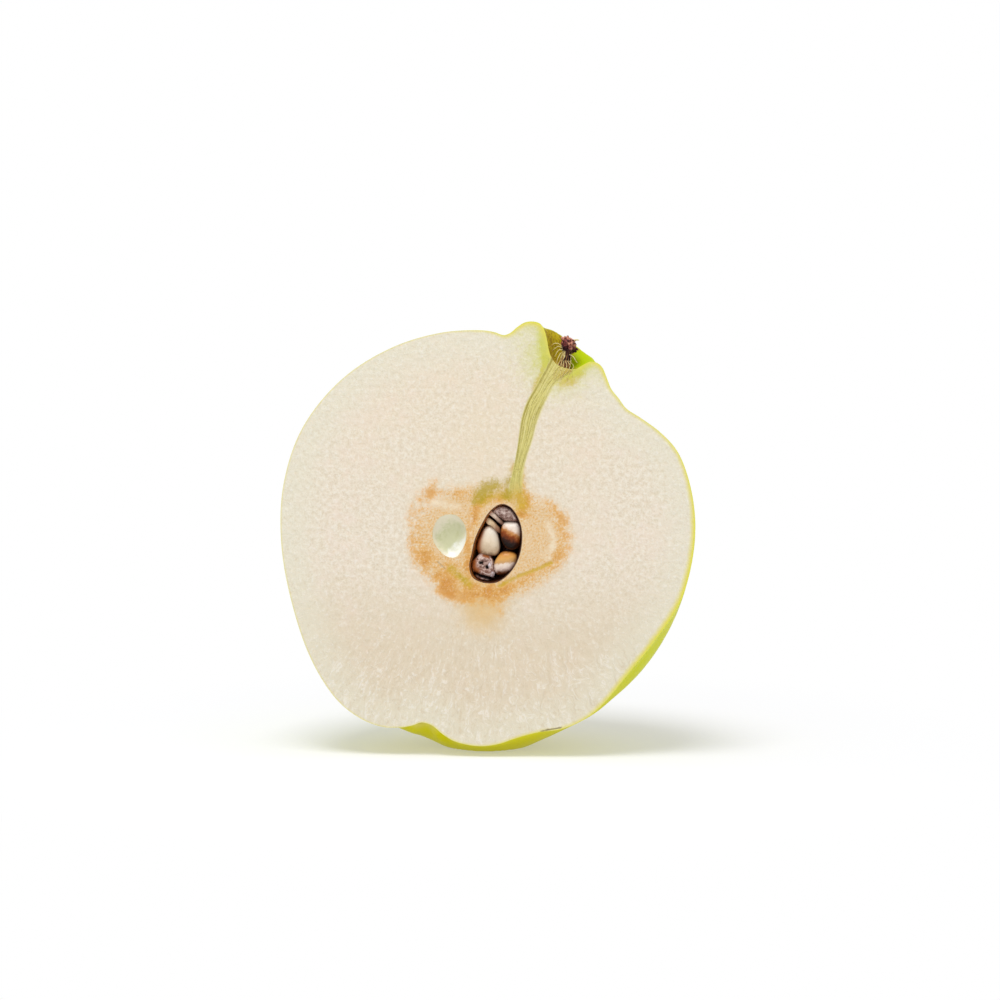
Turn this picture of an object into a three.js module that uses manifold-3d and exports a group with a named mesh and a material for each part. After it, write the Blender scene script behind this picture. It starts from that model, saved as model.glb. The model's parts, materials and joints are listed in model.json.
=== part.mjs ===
// Half of a quince, cut lengthwise through stem and calyx end, standing on a small flat spot.
// Flesh and skin are one solid. The seeds lie apart in the open seed cavity, and a dried stem
// stub stands in the pit at the top.
import * as THREE from "three";
import { ParametricGeometry } from "three/addons/geometries/ParametricGeometry.js";
import { mergeVertices } from "three/addons/utils/BufferGeometryUtils.js";
import Module from "manifold-3d";

const wasm = await Module();
wasm.setup();

// Driving sizes, in millimetres and degrees. The fruit is drawn in the frame of its cut face:
// x runs to the right, y into the fruit and z up along the face, from the lowest skin seen there.
const LEAN = 4; // how far the cut face leans back as the half stands
const FLOOR_AT_FACE = -1.4; // height of the resting plane where it passes under the cut face
const HEART = new THREE.Vector3(0, 0, 43.3); // point in the cut face that all the skin is measured from

// Outline of the cut face, clockwise from the left foot of the neck: x, z.
const CUT_EDGE = [
  [3.5, 85.6], [4.9, 86.1], [6.2, 87.2], [7.8, 88.2], [9.5, 88.4], [10.9, 88], [11.7, 87],
  [12.3, 85.2], [12.7, 83.1], [13.2, 81.3], [14.4, 79.6], [16.3, 78.8], [18.3, 78.6],
  [19.8, 79.4], [21.4, 80.1], [22.9, 79.8], [23.9, 78.8], [24.7, 76.9], [25.7, 74.5],
  [27.2, 72.6], [28.8, 70.5], [31.7, 68.6], [35.8, 65.6], [39.3, 61.7], [41.8, 55.3], [43, 47.1],
  [42.2, 38.2], [39.8, 30.4], [35.2, 23.4], [29.7, 16.4], [23.5, 9], [19.4, 6], [15.2, 4.5],
  [11.1, 3.9], [7, 2.8], [2.9, 1.4], [-0.2, 0.9], [-3.3, 1.1], [-6.4, 1.9], [-8.9, 3.4],
  [-10.9, 5], [-13, 5.6], [-15.2, 4.9], [-17.7, 4.5], [-21.2, 4.6], [-25.5, 6.1], [-30.5, 9.8],
  [-35.8, 17.6], [-40, 28.9], [-42.6, 42.3], [-42.2, 54.7], [-38.3, 66.4], [-30.1, 76.5],
  [-19.8, 83], [-9.5, 86.1], [-1.2, 86.6], [1.6, 86.2],
];
const EDGE_FADE = 12; // degrees behind the face over which the traced outline gives way to the body

// Body behind the cut: a round girth with broad swellings. "at" is clockwise from straight up.
const GIRTH = 42.6;
const DEPTH = 39;
const SWELLINGS = [
  { at: -40, spread: 30, height: 2.2 },
  { at: 46, spread: 16, height: -2.6 },
  { at: 75, spread: 22, height: 1.0 },
  { at: 124, spread: 21, height: 1.5 },
  { at: 181, spread: 19, height: 4.3 },
  { at: 220, spread: 20, height: 2.6 },
];
const ROUND = 2.15; // exponent of the section from face to back, 2 being an ellipse
const BASE = { at: 183, spread: 42, squareness: 0.95 }; // the base is squarer, so the half stands

// Neck: a raised ring round the stem pit. Left and right are the two crests in the cut face.
const PIT = { at: 23, floor: 3.6, crest: 8.6, drop: 3.0 };
const NECK = { left: 3.3, right: 1.3, behind: 0.5 };
const NECK_FOOT = { left: 4.2, right: 8.5, behind: 7.0 };
const NECK_FADE = { at: 22, spread: 14, fade: 4 };

// Basin at the calyx end, whose rear wall is left on this half, and the ribs of the fruit.
const BASIN = { at: 199, behind: 2, spread: 9, drop: 4.4 };
const RIBS = { count: 5, height: 0.5, axis: 20 };

// Seed cavity and the empty seed chamber to its left, as outlines in the cut face.
const CAVITY_EDGE = [
  [3.1, 50.6], [4.7, 50.2], [6.2, 48.5], [7.2, 45.8], [7.3, 42.7], [6.5, 39.3], [4.7, 36.5],
  [2.3, 34.8], [-0.4, 34.7], [-2.5, 35.7], [-3.2, 37.8], [-2.7, 40.7], [-2.1, 43.4],
  [-0.6, 46.7], [1, 49.2],
];
const CAVITY_DEPTH = 7.5;
const CHAMBER_EDGE = [
  [-9.3, 48.1], [-6.4, 48.5], [-4.5, 46.7], [-4, 44.2], [-4.7, 41.7], [-6.2, 39.8], [-8, 39.9],
  [-9.9, 41.5], [-11, 43.8], [-10.7, 46.2],
];
const CHAMBER_DEPTH = 1.8;

// Seeds, from the top of the cavity down: middle, half sizes along, across and into the fruit,
// and how far the long way is turned anticlockwise from level. A seed whose half depth is more
// than the depth of its middle was sliced flat by the knife.
const SEEDS = [
  { x: 4.1, depth: 1.6, z: 48.5, half: [2.8, 1.9, 2.2], turn: -20, colour: 0x8f7f78 },
  { x: 2.1, depth: 2.6, z: 48.1, half: [2.3, 0.85, 1.8], turn: -50, colour: 0xcdb9a4 },
  { x: 1.2, depth: 2.6, z: 46.3, half: [2.2, 0.9, 1.8], turn: -45, colour: 0xb49778 },
  { x: 0.5, depth: 2.4, z: 42.9, half: [3.2, 1.9, 1.9], turn: 103, colour: 0xdccab0 },
  { x: 5.3, depth: 2.0, z: 44.7, half: [3.1, 2.0, 2.1], turn: 94, colour: 0x8a4a1c },
  { x: 3.9, depth: 2.2, z: 38.4, half: [2.8, 2.2, 2.0], turn: 22, colour: 0xc79a68 },
  { x: -0.6, depth: 1.9, z: 37.7, half: [2.7, 2.5, 2.2], turn: 35, colour: 0x7d675e },
  { x: 4.4, depth: 5.2, z: 41.6, half: [2.8, 1.8, 1.4], turn: 80, colour: 0x4a2412 },
];
const SEED_TAPER = 0.3; // how much narrower the pointed end is than the middle
const CLEARANCE = 0.35; // gap between pieces that touch
const SLICED = 0.25; // the sliced seeds lie this far below the cut face

// Dried stem stub: radius and height along its own axis.
const STUB_PROFILE = [
  [0, 0], [1.1, 0.1], [1.1, 0.6], [0.9, 1.1], [1.15, 1.6], [1.6, 2.4], [1.75, 3.3], [1.6, 4.2],
  [1.1, 4.9], [0.5, 5.3], [0, 5.4],
];
const STUB = { x: 16.4, depth: 2.2, z: 80.3, tilt: 11, lump: 0.16 };

// Fineness of the faceted surfaces.
const COLUMNS = 2 * CUT_EDGE.length;
const ROWS = 24;
const ROW_SPREAD = 1.6; // rows crowd towards the cut edge
const BOWL_COLUMNS = 40;
const BOWL_ROWS = 6;
const MERGE = 1e-4;

const { cos, sin, exp, hypot } = Math;
const rad = THREE.MathUtils.degToRad;
const deg = THREE.MathUtils.radToDeg;

// Smooth bump in a turn round the fruit, 1 at its middle.
function bell(turn, { at, spread }) {
  const away = ((((turn - at + 180) % 360) + 360) % 360) - 180;
  return exp(-((away / spread) ** 2));
}

// Direction from the heart: turned clockwise from straight up, then tipped behind the face.
function direction(turn, behind) {
  const flat = cos(rad(behind));
  return new THREE.Vector3(sin(rad(turn)) * flat, sin(rad(behind)), cos(rad(turn)) * flat);
}

// Height of the neck ring over the body, and the depth of the stem pit inside it.
function neckHeight(towards) {
  const pitAxis = direction(PIT.at, 0);
  const off = deg(towards.angleTo(pitAxis));
  const leftwards = new THREE.Vector3(-pitAxis.z, 0, pitAxis.x);
  const leftness = THREE.MathUtils.clamp(towards.dot(leftwards) / Math.max(sin(rad(off)), 1e-6), -1, 1);
  const rearness = 1 - leftness ** 2;
  const side = leftness > 0 ? "left" : "right";
  const crest = THREE.MathUtils.lerp(NECK.right, NECK.left, (1 + leftness) / 2) + NECK.behind * rearness;
  if (off < PIT.crest) {
    const wall = THREE.MathUtils.smoothstep(off, PIT.floor, PIT.crest);
    return THREE.MathUtils.lerp(-PIT.drop, crest, wall);
  }
  const foot = THREE.MathUtils.lerp(NECK_FOOT[side], NECK_FOOT.behind, rearness);
  return crest * exp(-(((off - PIT.crest) / foot) ** 2));
}

// Distance from the heart to the skin of the body, without the traced outline.
function bodyRadius(turn, behind) {
  const towards = direction(turn, behind);
  const girth = SWELLINGS.reduce((sum, swelling) => sum + swelling.height * bell(turn, swelling), GIRTH);
  const power = ROUND + BASE.squareness * bell(turn, BASE);
  const across = (cos(rad(behind)) / girth) ** power;
  const into = (sin(rad(behind)) / DEPTH) ** power;
  const basinOff = deg(towards.angleTo(direction(BASIN.at, BASIN.behind)));
  const basin = BASIN.drop * exp(-((basinOff / BASIN.spread) ** 2));
  return (across + into) ** (-1 / power) + neckHeight(towards) - basin + ribHeight(towards);
}

// Faint ribs that run from stem to calyx, strongest half way, and none in the cut face itself.
function ribHeight(towards) {
  const stemwards = direction(RIBS.axis, 0);
  const rightwards = direction(RIBS.axis + 90, 0);
  const offAxis = hypot(towards.dot(rightwards), towards.y);
  const round = Math.atan2(towards.y, towards.dot(rightwards));
  const wave = cos(RIBS.count * round) * towards.y;
  return RIBS.height * wave * offAxis ** 2 * (1 - towards.dot(stemwards) ** 4);
}

function outlineCurve(points) {
  return new THREE.CatmullRomCurve3(points.map(([x, z]) => new THREE.Vector3(x, 0, z)), true);
}

// Skin from the cut edge round to the back, closed in front by the flat cut face.
function fruitGeometry() {
  const edge = outlineCurve(CUT_EDGE);
  const stacks = ROWS + 1;
  const surface = (u, v, target) => {
    const row = Math.round(v * stacks) - 1;
    if (row < 0) {
      target.copy(HEART);
      return;
    }
    const spoke = edge.getPoint(u).sub(HEART);
    const turn = deg(Math.atan2(spoke.x, spoke.z));
    const behind = 90 * (row / ROWS) ** ROW_SPREAD;
    const fade = THREE.MathUtils.lerp(EDGE_FADE, NECK_FADE.fade, bell(turn, NECK_FADE));
    const traced = (spoke.length() - bodyRadius(turn, 0)) * exp(-((behind / fade) ** 2));
    target.copy(direction(turn, behind)).multiplyScalar(bodyRadius(turn, behind) + traced).add(HEART);
  };
  return new ParametricGeometry(surface, COLUMNS, stacks);
}

// Hollow sunk from the cut face: an outline that draws in to its middle as it deepens, with a
// flat lid at the given depth.
function bowlGeometry(points, depth, lid, inset) {
  const edge = outlineCurve(points);
  const middle = points.reduce((sum, [x, z]) => sum.add(new THREE.Vector3(x, 0, z)), new THREE.Vector3());
  middle.divideScalar(points.length);
  const stacks = BOWL_ROWS + 2;
  const surface = (u, v, target) => {
    const row = Math.round(v * stacks) - 2;
    const spoke = edge.getPoint(u).sub(middle);
    spoke.setLength(spoke.length() - inset);
    const sunk = row > 0 ? (row / BOWL_ROWS) * 90 : 0;
    const reach = row < -1 ? 0 : cos(rad(sunk)) ** 0.7;
    target.copy(middle).addScaledVector(spoke, row === BOWL_ROWS ? 0 : reach);
    target.y = row < 1 && lid < 0 ? lid : Math.max(lid, 0) + (depth - Math.max(lid, 0)) * sin(rad(sunk));
  };
  return new ParametricGeometry(surface, BOWL_COLUMNS, stacks);
}

// Everything above the resting plane.
function aboveFloorGeometry() {
  const size = 300;
  return new THREE.BoxGeometry(size, size, size)
    .translate(0, 0, size / 2)
    .rotateX(rad(LEAN))
    .translate(0, 0, FLOOR_AT_FACE);
}

// Teardrop seed, made larger all round by the margin.
function seedGeometry({ x, depth, z, half, turn }, margin) {
  const geometry = new THREE.SphereGeometry(1, 16, 10).rotateZ(rad(90));
  const position = geometry.getAttribute("position");
  for (let i = 0; i < position.count; i += 1) {
    const along = position.getX(i);
    const slim = 1 - SEED_TAPER * Math.max(along, 0) ** 1.5;
    position.setXYZ(
      i,
      along * (half[0] + margin),
      position.getY(i) * (half[2] + margin) * slim,
      position.getZ(i) * (half[1] + margin) * slim,
    );
  }
  return geometry.rotateY(rad(-turn)).translate(x, depth, z);
}

// Knobbly dried stub, turned about its axis and then made uneven.
function stubGeometry() {
  const profile = STUB_PROFILE.map(([radius, height]) => new THREE.Vector2(radius, height));
  const geometry = new THREE.LatheGeometry(profile, 18);
  const position = geometry.getAttribute("position");
  for (let i = 0; i < position.count; i += 1) {
    const x = position.getX(i);
    const height = position.getY(i);
    const z = position.getZ(i);
    const round = Math.atan2(z, x);
    const uneven = 1 + STUB.lump * (sin(3 * round + 1.7 * height) + 0.6 * sin(5 * round - 2.3 * height));
    position.setXYZ(i, x * uneven, height, z * uneven);
  }
  return geometry.rotateX(rad(90)).rotateY(rad(STUB.tilt)).translate(STUB.x, STUB.depth, STUB.z);
}

function solidFrom(geometry) {
  const bare = new THREE.BufferGeometry().setAttribute("position", geometry.getAttribute("position"));
  bare.setIndex(geometry.index);
  const merged = mergeVertices(bare, MERGE);
  const index = merged.index.array;
  const corners = [];
  for (let i = 0; i < index.length; i += 3) {
    const face = [index[i], index[i + 1], index[i + 2]];
    if (new Set(face).size === 3) corners.push(...face);
  }
  const vertProperties = merged.getAttribute("position").array;
  return new wasm.Manifold(new wasm.Mesh({ numProp: 3, vertProperties, triVerts: new Uint32Array(corners) }));
}

function meshFrom(name, solid, material) {
  const { vertProperties, triVerts } = solid.getMesh();
  const geometry = new THREE.BufferGeometry();
  geometry.setAttribute("position", new THREE.BufferAttribute(vertProperties, 3));
  geometry.setIndex(new THREE.BufferAttribute(triVerts, 1));
  geometry.computeVertexNormals();
  const mesh = new THREE.Mesh(geometry, material);
  mesh.name = name;
  return mesh;
}

function halfFruit() {
  const solid = solidFrom(fruitGeometry())
    .intersect(solidFrom(aboveFloorGeometry()))
    .subtract(solidFrom(bowlGeometry(CAVITY_EDGE, CAVITY_DEPTH, -1, 0)))
    .subtract(solidFrom(bowlGeometry(CHAMBER_EDGE, CHAMBER_DEPTH, -1, 0)));
  const skin = new THREE.MeshStandardMaterial({ color: 0xb9c43a, roughness: 0.4, metalness: 0 });
  return meshFrom("half_fruit", solid, skin);
}

// Each seed is pressed clear of the cavity wall and of the seeds before it.
function seeds() {
  const room = solidFrom(bowlGeometry(CAVITY_EDGE, CAVITY_DEPTH - CLEARANCE, SLICED, CLEARANCE));
  return SEEDS.map((seed, i) => {
    const solid = SEEDS.slice(0, i).reduce(
      (rest, earlier) => rest.subtract(solidFrom(seedGeometry(earlier, CLEARANCE))),
      solidFrom(seedGeometry(seed, 0)).intersect(room),
    );
    const coat = new THREE.MeshStandardMaterial({ color: seed.colour, roughness: 0.5, metalness: 0 });
    return meshFrom(`seed_${i + 1}`, solid, coat);
  });
}

function stemStub() {
  const bark = new THREE.MeshStandardMaterial({ color: 0x5a3426, roughness: 0.9, metalness: 0 });
  return meshFrom("stem_stub", solidFrom(stubGeometry()), bark);
}

// The half leans back on its flat spot, and the group's origin is under the middle of its box.
const fruit = new THREE.Group();
fruit.add(halfFruit(), ...seeds(), stemStub());
fruit.rotation.x = rad(-LEAN);
const quince = new THREE.Group();
quince.name = "quince_half";
quince.add(fruit);
const box = new THREE.Box3().setFromObject(quince, true);
const middle = box.getCenter(new THREE.Vector3());
fruit.position.set(-middle.x, -middle.y, -box.min.z);

export default quince;
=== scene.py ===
# Half of a quince in its studio: fine flesh, peel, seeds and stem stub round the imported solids.
import json
import math

import bpy
import numpy as np
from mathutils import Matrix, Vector, geometry, noise


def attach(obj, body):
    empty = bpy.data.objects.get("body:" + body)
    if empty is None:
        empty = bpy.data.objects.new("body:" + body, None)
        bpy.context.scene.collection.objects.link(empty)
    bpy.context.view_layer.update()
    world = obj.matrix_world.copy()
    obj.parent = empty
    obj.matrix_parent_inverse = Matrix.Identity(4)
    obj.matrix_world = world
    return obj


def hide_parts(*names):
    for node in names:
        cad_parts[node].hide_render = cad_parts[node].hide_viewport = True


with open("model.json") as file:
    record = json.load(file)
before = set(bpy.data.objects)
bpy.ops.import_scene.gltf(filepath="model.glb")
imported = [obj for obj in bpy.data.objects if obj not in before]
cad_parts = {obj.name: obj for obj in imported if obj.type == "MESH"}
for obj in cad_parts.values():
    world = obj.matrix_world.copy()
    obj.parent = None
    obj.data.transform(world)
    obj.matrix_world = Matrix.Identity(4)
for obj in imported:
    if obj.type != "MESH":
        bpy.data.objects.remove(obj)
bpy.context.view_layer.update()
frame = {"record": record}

bl_info = {
    "name": "Quince half",
    "version": (1, 0, 0),
    "blender": (4, 5, 0),
    "location": "3D View > Sidebar > Quince",
    "description": "Builds a cut quince with its seeds and stem stub, and a studio for it",
    "category": "Add Mesh",
}

MM = 0.001
FAR = 99.0  # stands for "nowhere near", in millimetres or degrees

# Shapes are drawn in the frame of the cut face, in millimetres and degrees: x to the right,
# y into the fruit, z up along the face. A turn runs clockwise from up as the face is seen, and
# behind is the angle back from the face. FACE_POINT is the cut face's mount in that frame.
FACE_POINT = np.array([-20.0, 0.0, 55.0])
FACE_MOUNT = next(m for m in frame["record"]["mounts"] if m["name"] == "cut_face")
LEAN = math.atan2(FACE_MOUNT["axis"][2], -FACE_MOUNT["axis"][1])
FLOOR_AT_FACE = -1.4
HEART = np.array([0.0, 0.0, 43.3])

# Outline of the cut face, clockwise from the left foot of the neck: x, z.
CUT_EDGE = [
    (3.5, 85.6), (4.9, 86.1), (6.2, 87.2), (7.8, 88.2), (9.5, 88.4), (10.9, 88), (11.7, 87),
    (12.3, 85.2), (12.7, 83.1), (13.2, 81.3), (14.4, 79.6), (16.3, 78.8), (18.3, 78.6),
    (19.8, 79.4), (21.4, 80.1), (22.9, 79.8), (23.9, 78.8), (24.7, 76.9), (25.7, 74.5),
    (27.2, 72.6), (28.8, 70.5), (31.7, 68.6), (35.8, 65.6), (39.3, 61.7), (41.8, 55.3), (43, 47.1),
    (42.2, 38.2), (39.8, 30.4), (35.2, 23.4), (29.7, 16.4), (23.5, 9), (19.4, 6), (15.2, 4.5),
    (11.1, 3.9), (7, 2.8), (2.9, 1.4), (-0.2, 0.9), (-3.3, 1.1), (-6.4, 1.9), (-8.9, 3.4),
    (-10.9, 5), (-13, 5.6), (-15.2, 4.9), (-17.7, 4.5), (-21.2, 4.6), (-25.5, 6.1), (-30.5, 9.8),
    (-35.8, 17.6), (-40, 28.9), (-42.6, 42.3), (-42.2, 54.7), (-38.3, 66.4), (-30.1, 76.5),
    (-19.8, 83), (-9.5, 86.1), (-1.2, 86.6), (1.6, 86.2),
]
EDGE_FADE = 12  # how far behind the face the traced outline gives way to the plain body

# Body behind the cut. Each swelling has its turn, its spread and its height.
GIRTH = 42.6
DEPTH = 39
SWELLINGS = [
    (-40, 30, 2.2), (46, 16, -2.6), (75, 22, 1.0), (124, 21, 1.5), (181, 19, 4.3), (220, 20, 2.6),
]
ROUND = 2.15  # power of the rounding: 2 is an ellipse, and more is squarer
BASE_AT, BASE_SPREAD, BASE_SQUARE = 183, 42, 0.95

# Neck round the stem pit, by the angle from the pit's axis, and basin at the other end.
PIT_AT, PIT_FLOOR, PIT_CREST, PIT_DROP = 23, 3.6, 8.6, 3.0
CREST_LEFT, CREST_RIGHT, CREST_BEHIND = 3.3, 1.3, 0.5
FOOT_LEFT, FOOT_RIGHT, FOOT_BEHIND = 4.2, 8.5, 7.0
NECK_AT, NECK_SPREAD, NECK_FADE = 22, 14, 4
BASIN_AT, BASIN_BEHIND, BASIN_SPREAD, BASIN_DROP = 199, 2, 9, 4.4
RIB_COUNT, RIB_HEIGHT, RIB_AXIS = 5, 0.5, 20

# Seed cavity and empty seed chamber, as outlines in the cut face.
CAVITY_EDGE = [
    (3.1, 50.6), (4.7, 50.2), (6.2, 48.5), (7.2, 45.8), (7.3, 42.7), (6.5, 39.3), (4.7, 36.5),
    (2.3, 34.8), (-0.4, 34.7), (-2.5, 35.7), (-3.2, 37.8), (-2.7, 40.7), (-2.1, 43.4),
    (-0.6, 46.7), (1, 49.2),
]
CAVITY_DEPTH = 7.5
CHAMBER_EDGE = [
    (-9.3, 48.1), (-6.4, 48.5), (-4.5, 46.7), (-4, 44.2), (-4.7, 41.7), (-6.2, 39.8), (-8, 39.9),
    (-9.9, 41.5), (-11, 43.8), (-10.7, 46.2),
]
CHAMBER_DEPTH = 1.8
CHAMBER_LEAN = 0.55  # how much shallower the chamber is at its upper left, as a share
CAVITY_LUMPS, CHAMBER_LUMPS, LUMP_WIDTH = 0.18, 0.12, 2.2

# Strand from the stem to the core: middle and half width.
STRAND = [
    (15.4, 79.6, 2.7), (14.2, 78.2, 2.0), (12.7, 76.3, 1.5), (11.3, 73.8, 1.5), (9.95, 71.2, 1.65),
    (8.85, 68.1, 1.55), (8.15, 64.6, 1.35), (7.3, 60.9, 1.05), (6.5, 57.2, 1.0), (6.1, 54.0, 1.35),
    (5.9, 51.6, 1.6),
]

# Stains in the cut face by colour; under brown there is also one painted shade line along the lower cut
# edge. Each is a path, its half width and its strength.
STAINS_AND_SHADE = {
    "rust": [
        ([(-10.6, 53.8), (-13.2, 51.8), (-14.6, 48.5), (-14.6, 43.4), (-13.2, 39.6)], 2.0, 0.46),
        ([(-13.2, 39.6), (-10.1, 36.1), (-7.0, 33.1)], 2.3, 0.52),
        ([(-10.1, 54.1), (-6.4, 53.2), (-2.9, 52.2)], 1.56, 0.43),
        ([(-8.4, 33.9), (-5.4, 32.2), (-1.2, 32.2), (3.6, 32.6)], 1.9, 0.95),
        ([(-7.0, 34.3), (-1.6, 33.3), (2.9, 33.1)], 1.20, 0.57),
        ([(-2.0, 30.4), (-0.4, 27.8)], 1.6, 0.12),
        ([(2.4, 31.0), (3.4, 28.0)], 1.3, 0.20),
        ([(6.9, 54.6), (7.9, 51.6), (7.8, 49.2)], 1.3, 0.95),
        ([(-1.4, 50.9), (1.0, 52.0), (4.0, 52.2)], 0.9, 0.85),
        ([(6.6, 48.9), (10.5, 47.9)], 0.42, 0.66),
        ([(13.6, 50.6), (16.3, 46.4), (16.5, 42.3), (14.4, 38.8)], 1.80, 0.52),
        ([(14.4, 38.8), (9.4, 36.2), (4.0, 33.2)], 1.32, 0.47),
        ([(-1.9, 49.9), (-3.1, 45.4), (-3.5, 40.3), (-3.6, 36.4)], 1.0, 0.80),
        ([(-11.9, 39.2), (-8.4, 38.0), (-5.4, 36.8)], 1.44, 0.57),
    ],
    "gold": [
        ([(2.9, 33.9), (7.0, 36.1), (10.1, 37.2), (13.6, 38.8)], 0.45, 0.95),
        ([(-7.2, 37.4), (-4.9, 35.5), (-3.3, 34.1)], 1.0, 0.80),
        ([(6.4, 58.0), (6.6, 53.6), (7.4, 50.6)], 1.7, 0.90),
        ([(-1.0, 50.9), (2.2, 52.6), (5.2, 52.4)], 1.1, 0.70),
        ([(12.3, 81.6), (11.8, 79.0), (10.9, 76.4), (9.8, 74.0)], 0.85, 0.65),
        ([(14.6, 78.8), (16.4, 77.2), (18.4, 78.0)], 1.7, 0.95),
        ([(15.6, 75.8), (17.4, 75.8)], 1.5, 0.45),
    ],
    "olive": [
        ([(1.6, 54.6), (0.2, 54.0), (-0.9, 53.0)], 1.7, 0.95),
        ([(-0.9, 52.6), (-2.4, 51.2)], 1.1, 0.70),
        ([(5.0, 55.6), (4.6, 53.6), (4.3, 52.4)], 1.2, 0.80),
        ([(14.7, 79.2), (14.4, 77.5), (13.7, 75.4)], 0.35, 0.85),
        ([(-6.0, 36.4), (-4.2, 34.9)], 0.6, 0.50),
    ],
    "milk": [
        ([(12.9, 46.6), (14.0, 43.4), (12.9, 39.8)], 0.9, 0.60),
        ([(8.8, 46.6), (8.6, 43.0), (9.8, 39.6), (12.0, 41.4)], 1.3, 0.22),
        ([(-10.6, 50.8), (-6.0, 50.2)], 1.1, 0.60),
        ([(-3.0, 48.0), (-3.2, 43.0)], 0.5, 0.40),
    ],
    "brown": [
        ([(12.85, 80.8), (12.4, 78.6), (11.5, 76.2), (10.6, 74.4)], 0.12, 0.40),
        ([(16.4, 78.7), (16.7, 77.6)], 0.12, 0.40),
        ([(17.5, 78.6), (17.7, 76.9)], 0.12, 0.45),
        ([(18.2, 78.5), (18.5, 77.3)], 0.10, 0.35),
        ([(-9.9, 38.8), (-8.4, 37.4)], 0.28, 0.45),
        ([(-4.4, 37.9), (-4.0, 36.8)], 0.3, 0.30),
        # Painted shade: a dark line along the lower cut edge, where the fruit meets the floor.
        ([(11.7, 4.15), (13.4, 4.5), (15.6, 4.9)], 0.16, 0.95),
    ],
}

# Where the tints of the cut face lie: a spot is its x and z and its reach.
HALO_MIDDLE, HALO_REACH = (0.8, 43.0), (16.5, 12.5)
SMEAR_AT, SMEAR_REACH = -0.5, 5.0
NECK_TINT = (14.5, 81.0, 9.2)
PIT_FOOT, PIT_SIDE = (16.2, 79.0, 2.6), (16.3, 82.5, 6.0)
RIM_RIGHT_AT, RIM_RIGHT_SPREAD = 105, 55
RIM_NECK_AT, RIM_NECK_SPREAD = 20, 17
FAN_MIDDLE, FAN_FIBRES = (1.0, 64.0), 62.0  # the low flesh's fibres fan out from here
CHAMBER_MIDDLE = (-7.5, 44.2)
CAVITY_WARM_ABOVE = 39.5

# Bumps of the surfaces, each with its height, its width and where its noise starts.
FLESH_BUMPS = [(0.045, 1.3, 0.0), (0.05, 3.1, 5.0)]
STAIN_BUMPS = [(0.10, 0.7, 9.0)]
PEEL_BUMPS = [(0.13, 8.0, 0.0), (0.035, 2.4, 3.0)]
SLICE_BUMPS = [(0.05, 0.8, 4.0)]
FIBRE_BEND, FIBRE_BEND_WIDTH = 0.05, 0.6
GROOVE_DEPTH, GROOVE_LIP = 0.06, 0.03
PLEAT_COUNT, PLEAT_HEIGHT = 9, 0.4
EDGE_CALM = 1.0  # no bumps at the cut's edges, and all of them this far in

# Fineness of the meshes.
EDGE_STEPS = 8  # columns to each stretch of the cut outline
SKIN_ROWS = 80
ROW_SPREAD = 1.6
FINE = 0.23  # spacing of the points in the fine part of the cut face
CORE_MIDDLE, CORE_REACH = (0.6, 43.0), 16.5
STRAND_REACH = 3.2
EDGE_RINGS = (0.12, 0.3, 0.55, 0.9)
BOWL_RING = 0.1
BOWL_STEPS = 12
BOWL_ROWS = 22
SEED_STEPS = 6
SEED_ROWS = 30
CRISP = 35  # edges that turn by more are shaded sharp
FIBRE_STEPS = 5
FIBRE_SIDES = 8
STUB_SIDES = 96
STUB_STEPS = 6


def linear(red, green, blue):
    """A screen colour, 0 to 255, as the linear colour that shaders take."""
    shares = [c / 255 for c in (red, green, blue)]
    return tuple(s / 12.92 if s <= 0.04045 else ((s + 0.055) / 1.055) ** 2.4 for s in shares)


def colour(label, about, *screen):
    return bpy.props.FloatVectorProperty(
        name=label, description=about, subtype="COLOR", size=3, min=0, max=1, default=linear(*screen))


def size(label, about, millimetres, least=0.0):
    return bpy.props.FloatProperty(
        name=label, description=about, subtype="DISTANCE", unit="LENGTH", min=least,
        default=millimetres * MM, precision=5)


def share(label, about, default):
    return bpy.props.FloatProperty(
        name=label, description=about, subtype="FACTOR", min=0, max=1, default=default)


# Shapes

def bell(turn, at, spread):
    away = (turn - at + 180.0) % 360.0 - 180.0
    return np.exp(-((away / spread) ** 2))


def ease(values, low, high):
    t = np.clip((values - low) / (high - low), 0.0, 1.0)
    return t * t * (3.0 - 2.0 * t)


def direction(turn, behind):
    turn, behind = np.broadcast_arrays(np.radians(turn), np.radians(behind))
    flat = np.cos(behind)
    return np.stack([np.sin(turn) * flat, np.sin(behind), np.cos(turn) * flat], -1)


def angle_from(towards, axis):
    return np.degrees(np.arccos(np.clip(towards @ axis, -1.0, 1.0)))


def round_the_neck(towards):
    """Angle from the pit's axis, and 1 at the left crest to -1 at the right one."""
    axis = direction(PIT_AT, 0)
    leftwards = np.array([-axis[2], 0.0, axis[0]])
    off = angle_from(towards, axis)
    left = np.clip(towards @ leftwards / np.maximum(np.sin(np.radians(off)), 1e-6), -1.0, 1.0)
    return off, left


def neck_height(towards):
    off, left = round_the_neck(towards)
    rear = 1.0 - left ** 2
    crest = CREST_RIGHT + (CREST_LEFT - CREST_RIGHT) * (1.0 + left) / 2.0 + CREST_BEHIND * rear
    side = np.where(left > 0, FOOT_LEFT, FOOT_RIGHT)
    foot = side + (FOOT_BEHIND - side) * rear
    inside = -PIT_DROP + (crest + PIT_DROP) * ease(off, PIT_FLOOR, PIT_CREST)
    outside = crest * np.exp(-(((off - PIT_CREST) / foot) ** 2))
    return np.where(off < PIT_CREST, inside, outside)


def rib_height(towards):
    stemwards = direction(RIB_AXIS, 0)
    across = towards @ direction(RIB_AXIS + 90, 0)
    deep = towards[..., 1]
    wave = np.cos(RIB_COUNT * np.arctan2(deep, across)) * deep
    return RIB_HEIGHT * wave * np.hypot(across, deep) ** 2 * (1.0 - (towards @ stemwards) ** 4)


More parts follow.
